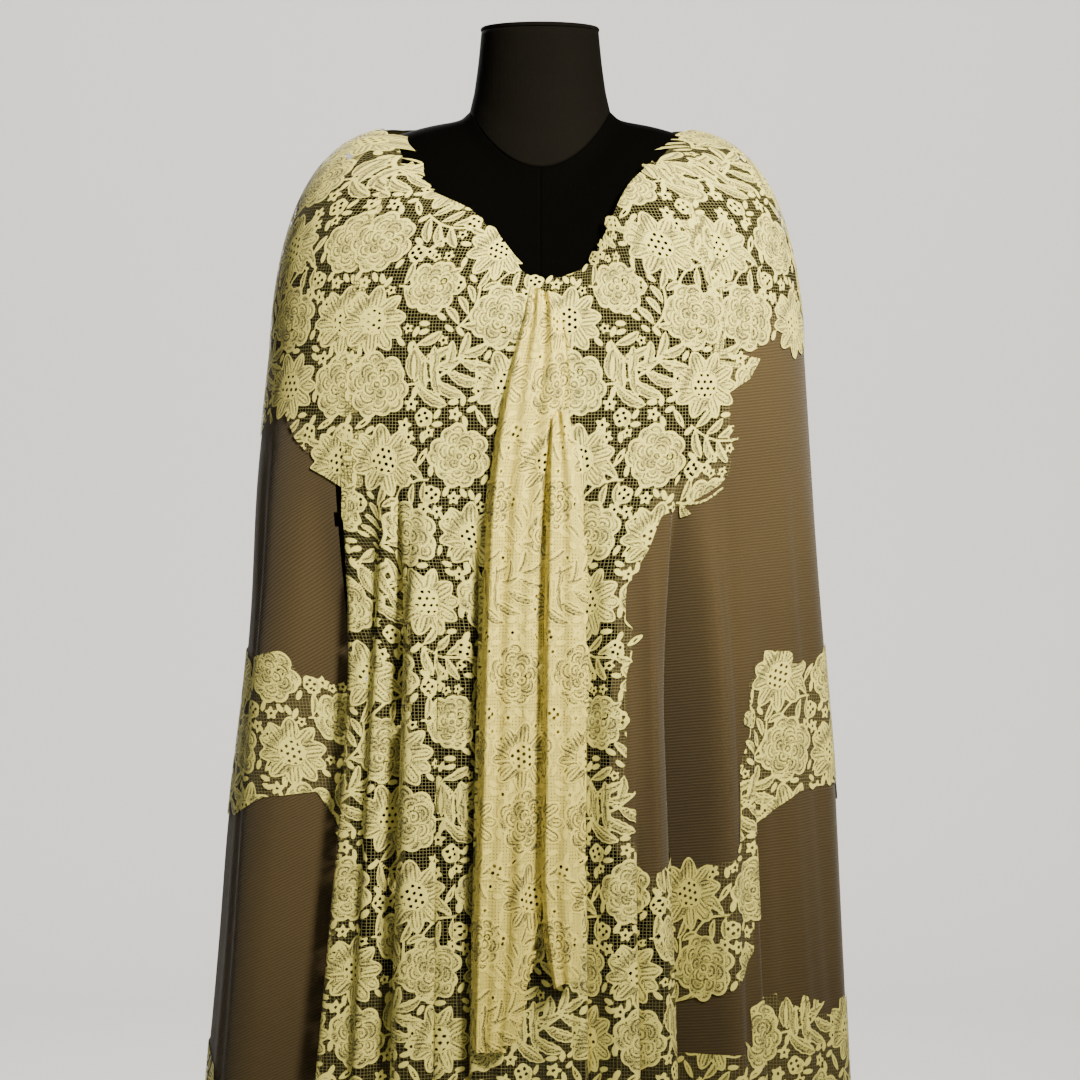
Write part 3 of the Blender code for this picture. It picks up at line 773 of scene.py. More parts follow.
@dataclass(frozen=True)
class Motif:
    """One flower or leaf of the chart: its kind, place, turn and size in millimetres and degrees."""

    kind: Flower
    across: float
    down: float
    turn: float
    size: float
    sheer: float = 0.0

    def fields(self, x: np.ndarray, y: np.ndarray) -> tuple:
        """Inner distance, cord contours, eyelet distance and sheerness at places about the motif.

        Args:
            x: Places across the cut from the motif's heart, in millimetres.
            y: Places down the cut.

        Returns:
            The four fields, as its own kind draws them.
        """
        turn = math.radians(self.turn)
        along = x * math.cos(turn) + y * math.sin(turn)
        aside = y * math.cos(turn) - x * math.sin(turn)
        return getattr(self, self.kind.value)(along, aside)

    def petals(self, x: np.ndarray, y: np.ndarray, rings: tuple) -> tuple:
        """Overlapping round petals: the union's inner distance, and that of the petal on top.

        Args:
            x: Places along the motif, in millimetres.
            y: Places across it.
            rings: Count, reach, radius and start of each ring, outermost first.

        Returns:
            Both distances.
        """
        body = np.full(x.shape, OUTSIDE)
        top = np.full(x.shape, MID_CORD)
        for count, reach, radius, start in rings:
            for number in range(count):
                angle = start + 2 * math.pi * number / count + 0.12 * math.sin(3 * number)
                length = reach * self.size * (1 + 0.07 * math.sin(2.4 * number + start))
                away = np.hypot(x - length * math.cos(angle), y - length * math.sin(angle))
                inner = radius * self.size - away
                top = np.where(inner > 0, inner, top)
                body = np.maximum(body, inner)
        return body, top

    def rose(self, x: np.ndarray, y: np.ndarray) -> tuple:
        """Three rings of overlapping petals with an eyelet beside the heart.

        Args:
            x: Places along the motif, in millimetres.
            y: Places across it.

        Returns:
            Inner distance, cord contours, eyelet distance and sheerness.
        """
        rings = ((11, 0.7, 0.3, 0), (7, 0.46, 0.34, 0.4), (4, 0.24, 0.28, 0.9), (1, 0, 0.2, 0))
        body, top = self.petals(x, y, rings)
        wave = 0.5 + 0.5 * np.sin(0.22 * x + 1.2) * np.sin(0.2 * y)
        spot = np.abs(np.hypot(x - 0.12 * self.size, y + 0.4 * self.size) - 2.6) + 1.1
        return body, top, np.minimum(spot, FAR), 0.7 * smooth_step(wave, 0.45, 0.7)

    def daisy(self, x: np.ndarray, y: np.ndarray) -> tuple:
        """Ten long petals about a disc full of eyelets.

        Args:
            x: Places along the motif, in millimetres.
            y: Places across it.

        Returns:
            Inner distance, cord contours, eyelet distance and sheerness.
        """
        radius = np.hypot(x, y)
        body = np.full(x.shape, OUTSIDE)
        top = np.full(x.shape, MID_CORD)
        petals = 10
        for number in range(petals):
            angle = 2 * math.pi * number / petals + 0.1 * math.sin(5 * number)
            along = x * math.cos(angle) + y * math.sin(angle)
            aside = y * math.cos(angle) - x * math.sin(angle)
            half = self.size * (0.225 + 0.025 * math.sin(3 * number))
            part = (along - 0.62 * self.size) / (self.size * 0.4)
            inner = half * (1 - np.sqrt(part**2 + (aside / (half * (1.12 - 0.3 * part))) ** 2))
            top = np.where(inner > 0, np.abs(aside) + np.maximum(part - 0.55, 0) * 9, top)
            body = np.maximum(body, inner)
        disc = 0.42 * self.size - radius
        pitch = 6.0
        shift = pitch / 2 * (np.floor(y / pitch) % 2)
        cell = np.hypot((x + shift) % pitch - pitch / 2, y % pitch - pitch / 2)
        top = np.where(disc > 0, np.where(disc < 0.8, disc, MID_CORD), top)
        spot = np.where(disc > 1.6, cell, FAR)
        thin = 0.8 * smooth_step(np.sin(0.25 * x + 0.1 * y), 0.5, 0.8) * (disc < 0)
        return np.maximum(body, disc), top, spot, thin

    def leaf(self, x: np.ndarray, y: np.ndarray) -> tuple:
        """Slim leaf on a bowed midrib, one half of it sheer.

        Args:
            x: Places along the motif, in millimetres.
            y: Places across it.

        Returns:
            Inner distance, cord contours, eyelet distance and sheerness.
        """
        half = self.size * 0.17
        part = np.clip(x / self.size, 0, 1)
        bent = y - 0.45 * half * np.sin(math.pi * part)
        wide = half * np.sin(math.pi * part**1.2) ** 0.62 * (1 + 0.07 * np.sin(10 * math.pi * part))
        body = np.minimum(wide - np.abs(bent), np.minimum(x, self.size - x) + 0.3)
        return body, np.abs(bent), np.full(x.shape, FAR), self.sheer * smooth_step(bent, -0.4, 0.4)

    def stem(self, x: np.ndarray, y: np.ndarray) -> tuple:
        """Bowed stem of one cord.

        Args:
            x: Places along the motif, in millimetres.
            y: Places across it.

        Returns:
            Inner distance, cord contours, eyelet distance and sheerness.
        """
        part = np.clip(x / self.size, 0, 1)
        bent = y - STEM_BOW * np.sin(math.pi * part)
        body = np.minimum(1.15 - np.abs(bent), np.minimum(x, self.size - x))
        return body, np.full(x.shape, MID_CORD), np.full(x.shape, FAR), np.zeros(x.shape)

    def bud(self, x: np.ndarray, y: np.ndarray) -> tuple:
        """Plump bud with four eyelets and a sheer flap.

        Args:
            x: Places along the motif, in millimetres.
            y: Places across it.

        Returns:
            Inner distance, cord contours, eyelet distance and sheerness.
        """
        body, _ = self.petals(x, y, ((5, 0.42, 0.52, 0.3),))
        spots = [(-0.5, 0.05), (-0.05, 0.45), (0.3, -0.1), (-0.1, -0.45)]
        away = [np.hypot(x - px * self.size, y - py * self.size) for px, py in spots]
        flap = 0.7 * smooth_step(x / self.size, 0.35, 0.5)
        return body, np.full(x.shape, MID_CORD), np.minimum.reduce(away), flap

    def blossom(self, x: np.ndarray, y: np.ndarray) -> tuple:
        """Five small petals about an eyelet.

        Args:
            x: Places along the motif, in millimetres.
            y: Places across it.

        Returns:
            Inner distance, cord contours, eyelet distance and sheerness.
        """
        edge = self.size * (0.8 + 0.25 * np.cos(5 * np.arctan2(y, x)))
        radius = np.hypot(x, y)
        return edge - radius, np.full(x.shape, MID_CORD), radius + 0.1, np.zeros(x.shape)

    def slit(self, x: np.ndarray, y: np.ndarray) -> tuple:
        """Pointed leaflet with a row of three pinholes.

        Args:
            x: Places along the motif, in millimetres.
            y: Places across it.

        Returns:
            Inner distance, cord contours, eyelet distance and sheerness.
        """
        part = np.clip(x / self.size, 0, 1)
        wide = self.size * 0.15 * np.sin(math.pi * part) ** 0.8
        body = np.minimum(wide - np.abs(y), np.minimum(x, self.size - x))
        away = [np.hypot(x - share * self.size, y) for share in (0.38, 0.5, 0.62)]
        return body, np.full(x.shape, MID_CORD), np.minimum.reduce(away) + 0.6, np.zeros(x.shape)

    def bean(self, x: np.ndarray, y: np.ndarray) -> tuple:
        """Small solid fleck, longer than wide."""
        body = self.size * (1 - np.hypot(x / (2 * self.size), (y - 0.15 * x) / self.size))
        return body, np.full(x.shape, MID_CORD), np.full(x.shape, FAR), np.zeros(x.shape)


def leaf_spray(across: float, down: float, turn: float, size: float, pairs: int = 4) -> list:
    """A bowed stem with leaves in pairs and one at its tip, all more or less sheer on one half.

    Args:
        across: Place across the chart, in millimetres.
        down: Place down the chart.
        turn: Heading in degrees.
        size: The spray's length.
        pairs: How many pairs of leaves.

    Returns:
        The motifs.
    """
    stem = size * 0.8
    parts = [Motif(Flower.STEM, across, down, turn, stem)]
    heading = math.radians(turn)
    for pair in range(pairs):
        along = size * (0.08 + 0.21 * pair)
        bow = STEM_BOW * math.sin(math.pi * along / stem)
        x = across + along * math.cos(heading) - bow * math.sin(heading)
        y = down + along * math.sin(heading) + bow * math.cos(heading)
        for side in (-1, 1):
            length = size * (0.4 - 0.02 * pair + 0.03 * side)
            lean = math.radians(turn + side * (62 - 7 * pair))
            foot = (x + 1.5 * math.cos(lean), y + 1.5 * math.sin(lean))
            parts.append(Motif(Flower.LEAF, *foot, math.degrees(lean), length, 1.0 if side > 0 else 0.7))
    tip = size * 0.76
    x = across + tip * math.cos(heading)
    y = down + tip * math.sin(heading)
    parts.append(Motif(Flower.LEAF, x, y, turn + 6, size * 0.34, 0.9))
    return parts


def blossom_chain(across: float, down: float, turn: float, count: int) -> list:
    """Small flowers along a bowed line.

    Args:
        across: Place across the chart, in millimetres.
        down: Place down the chart.
        turn: Heading in degrees.
        count: How many flowers.

    Returns:
        The motifs.
    """
    apart = 14.0
    parts = []
    for place in range(count):
        angle = math.radians(turn + 26 * place)
        parts.append(Motif(Flower.BLOSSOM, across, down, turn + 20 * place, 7.2 - 0.3 * place))
        across += apart * math.cos(angle)
        down += apart * math.sin(angle)
    return parts


@dataclass
class LaceChart:
    """A repeat of flowers charted one by one, with small flowers and flecks set into its wider gaps.

    Every other row of repeats is moved half a repeat sideways. The chart is drawn on a sheet of 222 by
    236 mm, and worked closer than that, with a share for the places and one for the flowers' sizes.
    """

    share: float = 0.82
    flower_share: float = 0.92
    width: float = 222.0
    height: float = 236.0
    seed: int = 11
    tries: int = 1500
    least_gap: float = 3.4
    gap_margin: float = 0.8
    largest_blossom: float = 6.6
    least_blossom: float = 4.4
    largest_bean: float = 2.5
    fill_step: float = 1.5
    stamp_margin: float = 14.0
    dress_margin: float = 4.0
    kept_depth: float = 3.0
    motifs: list = field(init=False)

    def __post_init__(self) -> None:
        """Places the motifs of one repeat."""
        rose, daisy, bud, slit = Flower.ROSE, Flower.DAISY, Flower.BUD, Flower.SLIT
        self.motifs = [
            Motif(rose, 38, 40, 10, 33),
            Motif(rose, 132, 118, 75, 31),
            Motif(rose, 66, 202, 150, 32),
            Motif(rose, 204, 170, 40, 27),
            Motif(daisy, 186, 40, 0, 34),
            Motif(daisy, 46, 122, 15, 35),
            Motif(daisy, 142, 206, 25, 34),
            Motif(bud, 92, 76, 30, 10),
            Motif(bud, 222, 92, 160, 10.5),
            Motif(bud, 100, 160, 100, 10),
            Motif(bud, 176, 132, 10, 9.5),
            Motif(bud, 8, 168, 60, 10),
            Motif(slit, 150, 66, 60, 22),
            Motif(slit, 84, 130, -60, 22),
            Motif(slit, 12, 88, -30, 22),
            Motif(slit, 108, 228, -50, 20),
        ]
        self.motifs += leaf_spray(74, 40, -28, 88) + leaf_spray(170, 84, 14, 66, 3)
        self.motifs += leaf_spray(98, 144, 152, 58, 2) + leaf_spray(166, 168, -18, 60, 2)
        self.motifs += leaf_spray(16, 216, -70, 62, 3) + leaf_spray(190, 228, 35, 74, 3)
        self.motifs += blossom_chain(70, 84, 70, 3) + blossom_chain(150, 20, 70, 3)
        self.motifs += blossom_chain(92, 176, 10, 3)
        self.motifs += blossom_chain(8, 10, 60, 2) + blossom_chain(196, 118, 120, 3)
        self.width *= self.share
        self.height *= self.share
        self.motifs = [
            replace(
                motif,
                across=motif.across * self.share,
                down=motif.down * self.share,
                size=motif.size * self.flower_share,
            )
            for motif in self.motifs
        ]
        self.fill_gaps()

    def copies(self, motif: Motif, low: np.ndarray, high: np.ndarray, span: float) -> np.ndarray:
        """Places of a motif's copies whose reach meets a box of the cut.

        Args:
            motif: The motif.
            low: The box's lowest corner.
            high: The box's highest corner.
            span: How far a copy may reach.

        Returns:
            Places of the copies' hearts.
        """
        first = math.floor((low[1] - span - motif.down) / self.height)
        last = math.ceil((high[1] + span - motif.down) / self.height)
        places = []
        for row in range(first, last + 1):
            start = motif.across + (0.5 * self.width if row % 2 else 0)
            begin = math.floor((low[0] - span - start) / self.width)
            end = math.ceil((high[0] + span - start) / self.width)
            down = motif.down + self.height * row
            places += [(start + self.width * step, down) for step in range(begin, end + 1)]
        return np.array(places)

    def fill_gaps(self) -> None:
        """Sets a small flower or fleck wherever a seeded draw falls on net far from all motifs."""
        draw = np.random.default_rng(self.seed)
        step = self.fill_step
        columns, rows = int(self.width / step), int(2 * self.height / step)
        x, y = np.meshgrid((np.arange(columns) + 0.5) * step, (np.arange(rows) + 0.5) * step)
        places = np.stack([x.ravel(), y.ravel()], axis=-1)
        nearest = np.full(len(places), BARE)
        for motif in self.motifs:
            self.stamp(motif, places, nearest)
        for _ in range(self.tries):
            at = places[draw.integers(len(places) // 2)]
            turn = draw.uniform(0, FULL_TURN)
            gap = -nearest[int(at[1] / step) * columns + int(at[0] / step)]
            if gap < self.least_gap:
                continue
            size = min(gap - self.gap_margin, self.largest_blossom)
            kind = Flower.BLOSSOM if size > self.least_blossom else Flower.BEAN
            size = size if kind is Flower.BLOSSOM else min(size, self.largest_bean)
            motif = Motif(kind, at[0], at[1], turn, size)
            self.motifs.append(motif)
            self.stamp(motif, places, nearest)

    def stamp(self, motif: Motif, places: np.ndarray, nearest: np.ndarray) -> None:
        """Raises the distances at the places that a motif's copies cover or come near.

        Args:
            motif: The motif.
            places: Flat places, in millimetres.
            nearest: Distance to the nearest motif at each place, changed here.
        """
        span = motif.size * SPREAD + self.stamp_margin
        for heart in self.copies(motif, places.min(axis=0), places.max(axis=0), span):
            near = np.flatnonzero(np.abs(places - heart).max(axis=1) < span)
            if len(near):
                away = places[near] - heart
                nearest[near] = np.maximum(nearest[near], motif.fields(away[:, 0], away[:, 1])[0])

    def dress(self, places: np.ndarray, outline: np.ndarray, inset: float, reach: float) -> dict:
        """Values of every attribute at the flat places of one piece.

        A flower whose heart lies inside the outline is kept whole, as far as the edge may reach out,
        and bare net ends a little inside the outline.

        Args:
            places: Flat places, in millimetres.
            outline: The piece's flat outline.
            inset: How far inside the outline the bare net ends.
            reach: How far outside the outline a flower may reach.

        Returns:
            Arrays by attribute name.
        """
        edge = outline_distance(outline, places)
        body = np.full(len(places), BARE)
        kept = np.full(len(places), BARE)
        ring = np.full(len(places), MID_CORD)
        spot = np.full(len(places), FAR)
        sheer = np.zeros(len(places))
        order = np.argsort(places[:, 1], kind="stable")
        rows = places[order, 1]
        for motif in self.motifs:
            span = motif.size * SPREAD + self.dress_margin
            hearts = self.copies(motif, places.min(axis=0), places.max(axis=0), span)
            depths = outline_distance(outline, hearts)
            for heart, depth in zip(hearts, depths):
                begin, end = np.searchsorted(rows, (heart[1] - span, heart[1] + span))
                near = order[begin:end]
                near = near[np.abs(places[near, 0] - heart[0]) < span]
                if not len(near):
                    continue
                away = places[near] - heart
                inner, contour, hole, thin = motif.fields(away[:, 0], away[:, 1])
                above = inner > body[near]
                chosen = near[above]
                body[chosen] = inner[above]
                ring[chosen] = contour[above]
                spot[chosen] = hole[above]
                sheer[chosen] = thin[above]
                if depth > self.kept_depth:
                    kept[near] = np.maximum(kept[near], inner)
        spot = np.where(body > -0.6, spot, FAR)
        cover = np.minimum(np.maximum(edge - inset, kept), edge + reach)
        return {"body": body, "ring": ring, "spot": spot, "sheer": sheer, "cover": cover}


def grid_faces(rows: int, columns: int) -> np.ndarray:
    """Corner numbers of a grid's quads, whose first row is the lowest.

    Args:
        rows: How many rows of points.
        columns: How many points in a row.

    Returns:
        Four corner numbers for each quad.
    """
    row, column = np.mgrid[0 : rows - 1, 0 : columns - 1]
    start = (row * columns + column).ravel()
    return np.stack([start, start + 1, start + columns + 1, start + columns], axis=1)


def make_sheet(
    name: str, points: np.ndarray, faces: np.ndarray, cut: np.ndarray, values: dict
) -> bpy.types.Object:
    """A smooth mesh of quads with its cut as UV map and its values as attributes.

    Args:
        name: The object's name.
        points: Places in millimetres.
        faces: Corner numbers, four a face.
        cut: Flat places in millimetres.
        values: Attribute arrays, one value a point.

    Returns:
        The object, linked to the scene.
    """
    used = np.unique(faces)
    renumbered = np.zeros(len(points), int)
    renumbered[used] = np.arange(len(used))
    faces = renumbered[faces]
    mesh = bpy.data.meshes.new(name)
    mesh.vertices.add(len(used))
    mesh.vertices.foreach_set("co", (points[used] * MM).astype(np.float32).ravel())
    mesh.loops.add(faces.size)
    mesh.loops.foreach_set("vertex_index", faces.astype(np.int32).ravel())
    mesh.polygons.add(len(faces))
    mesh.polygons.foreach_set("loop_start", np.arange(0, faces.size, faces.shape[1], dtype=np.int32))
    mesh.update(calc_edges=True)
    mesh.polygons.foreach_set("use_smooth", np.ones(len(faces), bool))
    layer = mesh.uv_layers.new(name="cut")
    layer.data.foreach_set("uv", (cut[used][faces.ravel()] * MM).astype(np.float32).ravel())
    for key, array in values.items():
        attribute = mesh.attributes.new(key, "FLOAT", "POINT")
        attribute.data.foreach_set("value", array[used].astype(np.float32))
    mesh.validate()
    thing = bpy.data.objects.new(name, mesh)
    bpy.context.scene.collection.objects.link(thing)
    return thing


@dataclass
class ClothPiece:
    """One pattern piece on the drape: its outline, its step and what it lies on."""

    name: str
    outline: list
    lift: float
    step: float
    rests_on: tuple
    slot: str
    middle: float = 0.0
    margin: float = 12.0
    inset: float = 3.0
    reach: float = 8.0

    def build(self, drape: Drape, chart: LaceChart | None, material: bpy.types.Material) -> bpy.types.Object:
        """Grid of even steps over the outline, trimmed to the cloth that is there.

        Args:
            drape: The surface.
            chart: The lace's chart, or None for plain cloth.
            material: The finish.

        Returns:
            The piece.
        """
        corners = np.array(self.outline, float)
        flat_outline = drape.flat(*divided(corners).T, self.middle)
        low, high = corners.min(axis=0), corners.max(axis=0)
        lengths = drape.reference_lengths
        along = np.interp((low[0], high[0]), drape.bearings, lengths) + (-self.margin, self.margin)
        columns = max(int((along[1] - along[0]) / self.step), 2)
        bearing = np.interp(np.linspace(*along, columns), lengths, drape.bearings)
        top = high[1] + self.margin * (1.0 if high[1] < NECK_LEVEL else 0.9)
        rows = max(int((top - low[1] + self.margin) / self.step), 2)
        level = np.linspace(low[1] - self.margin, top, rows)
        bearings, levels = np.meshgrid(bearing, level)
        cut = drape.flat(bearings.ravel(), levels.ravel(), self.middle)
        if chart:
            values = chart.dress(cut, flat_outline, self.inset, self.reach)
        else:
            values = {"cover": outline_distance(flat_outline, cut)}
        faces = grid_faces(rows, columns)
        faces = faces[values["cover"][faces].max(axis=1) > TRIM]
        points = drape.lifted(bearings.ravel(), levels.ravel(), self.lift)
        piece = make_sheet(self.name, points, faces, cut, values)
        piece.data.materials.append(material)
        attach(piece, BODY)
        return piece


@dataclass
class Shawl:
    """The cloth: twill sides and back, lace yoke and fronts, lace patches and borders; its two ruffles are
    built apart.
    """

    drape: Drape
    chart: LaceChart
    lace: bpy.types.Material
    twill: bpy.types.Material
    twill_slanted: bpy.types.Material
    fine_step: float = 1.85
    back_step: float = 2.6
    twill_step: float = 3.2
    tuck: float = 14.0
    overlap: float = 5.0
    twill_hem: float = 438.0
    twill_top: float = 1335.0
    middles: tuple = (("back", 180.0), ("shoulder_left", -84.0), ("shoulder_right", 84.0))
    right_yoke_edge: tuple = (
        (201, 1194), (189, 1171), (172, 1160), (171, 1128), (172, 1088), (160, 1075), (134, 1059),
        (110, 1048), (97, 1016), (79, 988), (77, 959), (84, 952), (83, 928), (77, 909), (77, 838),
        (74, 800), (76, 768), (88, 756), (95, 731), (117, 747), (136, 734),
    )
    right_patch_edge: tuple = (
        (132, 734), (151, 742), (167, 748), (173, 785), (174, 826), (183, 856), (183, 902), (197, 914),
        (202, 922), (222, 921), (220, 911), (231, 909),
    )
    right_leg_edge: tuple = (
        (232, 800), (222, 790), (212, 782), (193, 762), (200, 760), (192, 718), (191, 661), (180, 644),
        (167, 630), (151, 617), (132, 606),
    )
    right_hem_edge: tuple = (
        (132, 575), (175, 575), (196, 562), (192, 617), (202, 621), (219, 627), (221, 619), (244, 608),
    )
    left_yoke_edge: tuple = ((-237, 1148), (-228, 1139), (-220, 1118), (-210, 1105), (-192, 1094))
    left_patch_top: tuple = ((-250, 914), (-224, 923), (-222, 909), (-209, 901), (-190, 905))
    left_patch_foot: tuple = ((-208, 780), (-214, 735), (-226, 800), (-243, 795), (-261, 781))
    yoke_hem_back: tuple = (
        (128, 1190), (140, 1150), (156, 1165), (172, 1110), (190, 1150), (206, 1120), (222, 1160),
    )
    band_top_back: tuple = ((132, 900), (150, 925), (168, 895), (186, 920), (204, 890), (222, 912))
    band_foot_back: tuple = ((222, 790), (206, 815), (190, 780), (172, 810), (154, 785), (136, 805))
    border_back: tuple = ((132, 600), (150, 625), (168, 595), (186, 622), (204, 592), (222, 615))

    def twill_outlines(self) -> dict:
        """Outlines of the three twill pieces, which run a little way under the lace.

        Returns:
            Bearings and levels of each outline's corners, by the node's name.
        """
        front_line = self.drape.front_line
        back = LEFT_BACK_SEAM + FULL_TURN
        top = self.twill_top
        left = [(LEFT_BACK_SEAM, top), (-114, top), (-102, 1322), (-94, 1290), (-87, 1240), (-85, 1140)]
        left += front_line(((-228, 1150), (-192, 1108)))
        left += [(LEFT_FRONT_SEAM - 1.5, 1090), (LEFT_FRONT_SEAM - 1.5, 700)]
        left += [(LEFT_FRONT_SEAM - 2.5, self.twill_hem), (LEFT_BACK_SEAM, self.twill_hem)]
        right = front_line([(x - self.tuck / 2, z + 1.4 * self.tuck) for x, z in self.right_yoke_edge[:8]])
        right += front_line([(x - self.tuck, z) for x, z in self.right_yoke_edge[8:17]])
        right += front_line(((76, 742), (90, 714), (117, 722), (136, 712), (136, 600), (132, 555)))
        right += [(right[-1][0], self.twill_hem), (RIGHT_BACK_SEAM, self.twill_hem), (RIGHT_BACK_SEAM, top)]
        right += [(114, top), (102, 1318), (95, 1275), (88, 1232), (78, 1224), (70, 1220)]
        behind = [(RIGHT_BACK_SEAM, top), (150, 1340), (180, 1342), (210, 1340), (back, top)]
        behind += [(back, self.twill_hem), (RIGHT_BACK_SEAM, self.twill_hem)]
        return {"twill_left_side": left, "twill_right_side": right, "twill_back": behind}

    def lace_outlines(self) -> dict:
        """Outlines of the lace, each with its lift; an upper piece covers a lower one's edge at a seam.

        Returns:
            A lift and the outline's corners, by the node's name.
        """
        front_line = self.drape.front_line
        under = self.overlap
        back = LEFT_BACK_SEAM + FULL_TURN
        left_edge = [(-104, 1135), (-96, 1122), (-90, 1128), (-84, 1118), *front_line(self.left_yoke_edge)]
        corner = front_line(((136, 600),))
        shoulder_foot = front_line(((208, 1203), (221, 1214)))
        shoulder_foot += [(72, 1205), (80, 1196), (90, 1212), (104, 1196), (116, 1206)]
        low, middle, high = LACE_LIFT, MIDDLE_LACE_LIFT, UPPER_LACE_LIFT
        pieces = {}
        pieces["lace_shoulder_left"] = (low, [
            (LEFT_BACK_SEAM - under, NECK_LEVEL), (LEFT_BACK_SEAM - under, 1112), *left_edge,
            (LEFT_FRONT_SEAM + under, 1075), (LEFT_FRONT_SEAM + under, NECK_LEVEL),
        ])
        pieces["lace_front_left"] = (high, [
            (LEFT_FRONT_SEAM, NECK_LEVEL), (LEFT_FRONT_SEAM, 1075), (LEFT_FRONT_SEAM, 700),
            (LEFT_FRONT_SEAM - 1, HEM_LEVEL), (FRONT_EDGE, HEM_LEVEL), (FRONT_EDGE, NECK_LEVEL),
        ])
        pieces["lace_front_right"] = (middle, [
            (FRONT_EDGE - under, NECK_LEVEL), (FRONT_EDGE - under, HEM_LEVEL), (corner[0][0], HEM_LEVEL),
            *corner, *front_line(self.right_yoke_edge)[::-1], (RIGHT_SHOULDER_SEAM, 1200),
            (RIGHT_SHOULDER_SEAM, NECK_LEVEL),
        ])
        pieces["lace_shoulder_right"] = (low, [
            (RIGHT_SHOULDER_SEAM - under, NECK_LEVEL), (RIGHT_SHOULDER_SEAM - under, 1180), (56, 1188),
            *shoulder_foot, (RIGHT_BACK_SEAM + under, 1189), (RIGHT_BACK_SEAM + under, NECK_LEVEL),
        ])
        pieces["lace_shoulder_back"] = (high, [
            (RIGHT_BACK_SEAM, NECK_LEVEL), (RIGHT_BACK_SEAM, 1189), *self.yoke_hem_back, (back, 1112),
            (back, NECK_LEVEL),
        ])
        pieces["lace_patch_left"] = (low, [
            (LEFT_BACK_SEAM - under, 905), (-114, 922), (-102, 905), (-90, 925),
            *front_line(self.left_patch_top), (LEFT_FRONT_SEAM - 1, 905), (LEFT_FRONT_SEAM - 2, 790),
            *front_line(self.left_patch_foot),
            (-92, 790), (-104, 802), (-115, 786), (LEFT_BACK_SEAM - under, 800),
        ])
        pieces["lace_patch_right"] = (low, [
            *front_line(self.right_patch_edge), (78, 924), (90, 932), (103, 912), (115, 925),
            (RIGHT_BACK_SEAM + under, 908), (RIGHT_BACK_SEAM + under, 800), (114, 786), (102, 806), (90, 796),
            (78, 806), *front_line(self.right_leg_edge),
        ])
        pieces["lace_patch_back"] = (high, [
            (RIGHT_BACK_SEAM, 908), *self.band_top_back, (back, 905), (back, 800), *self.band_foot_back,
            (RIGHT_BACK_SEAM, 800),
        ])
        start = front_line(((132, 575),))[0][0]
        pieces["lace_border_right"] = (low, [
            (start, HEM_LEVEL), *front_line(self.right_hem_edge), (74, 603), (86, 615), (98, 600), (112, 618),
            (RIGHT_BACK_SEAM + under, 598), (RIGHT_BACK_SEAM + under, HEM_LEVEL),
        ])
        pieces["lace_border_back"] = (high, [
            (RIGHT_BACK_SEAM, HEM_LEVEL), (RIGHT_BACK_SEAM, 598), *self.border_back, (back, 600),
            (back, HEM_LEVEL),
        ])
        pieces["lace_border_left"] = (low, [
            (LEFT_BACK_SEAM - under, HEM_LEVEL), (LEFT_BACK_SEAM - under, 600), (-114, 612), (-102, 590),
            (-90, 585), (-80, 560), (-74, 520), (-66, 470), (-61.5, HEM_LEVEL),
        ])
        return pieces

    def build(self) -> None:
        """Builds every sheet of the shawl and hides the CAD solid that it stands for."""
        for name, outline in self.twill_outlines().items():
            finish = self.twill_slanted if "left" in name else self.twill
            rests = ("lace_shoulder_back",)
            sheet = ClothPiece(f"sheet_{name}", outline, TWILL_LIFT, self.twill_step, rests, "twill")
            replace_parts(sheet.build(self.drape, None, finish), name)
        for name, (lift, outline) in self.lace_outlines().items():
            step = self.back_step if "back" in name else self.fine_step
            rests = ("form_torso",) if "shoulder" in name or "front" in name else ("twill_back",)
            middle = next((bearing for side, bearing in self.middles if side in name), 0.0)
            sheet = ClothPiece(f"sheet_{name}", outline, lift, step, rests, "lace", middle)
            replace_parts(sheet.build(self.drape, self.chart, self.lace), name)


@dataclass(frozen=True)
class RuffleRow:
    """A row of a hanging fold of lace: its edges as seen from the front, standoff and wave."""

    height: float
    left: float
    right: float
    standoff: float
    wave: float


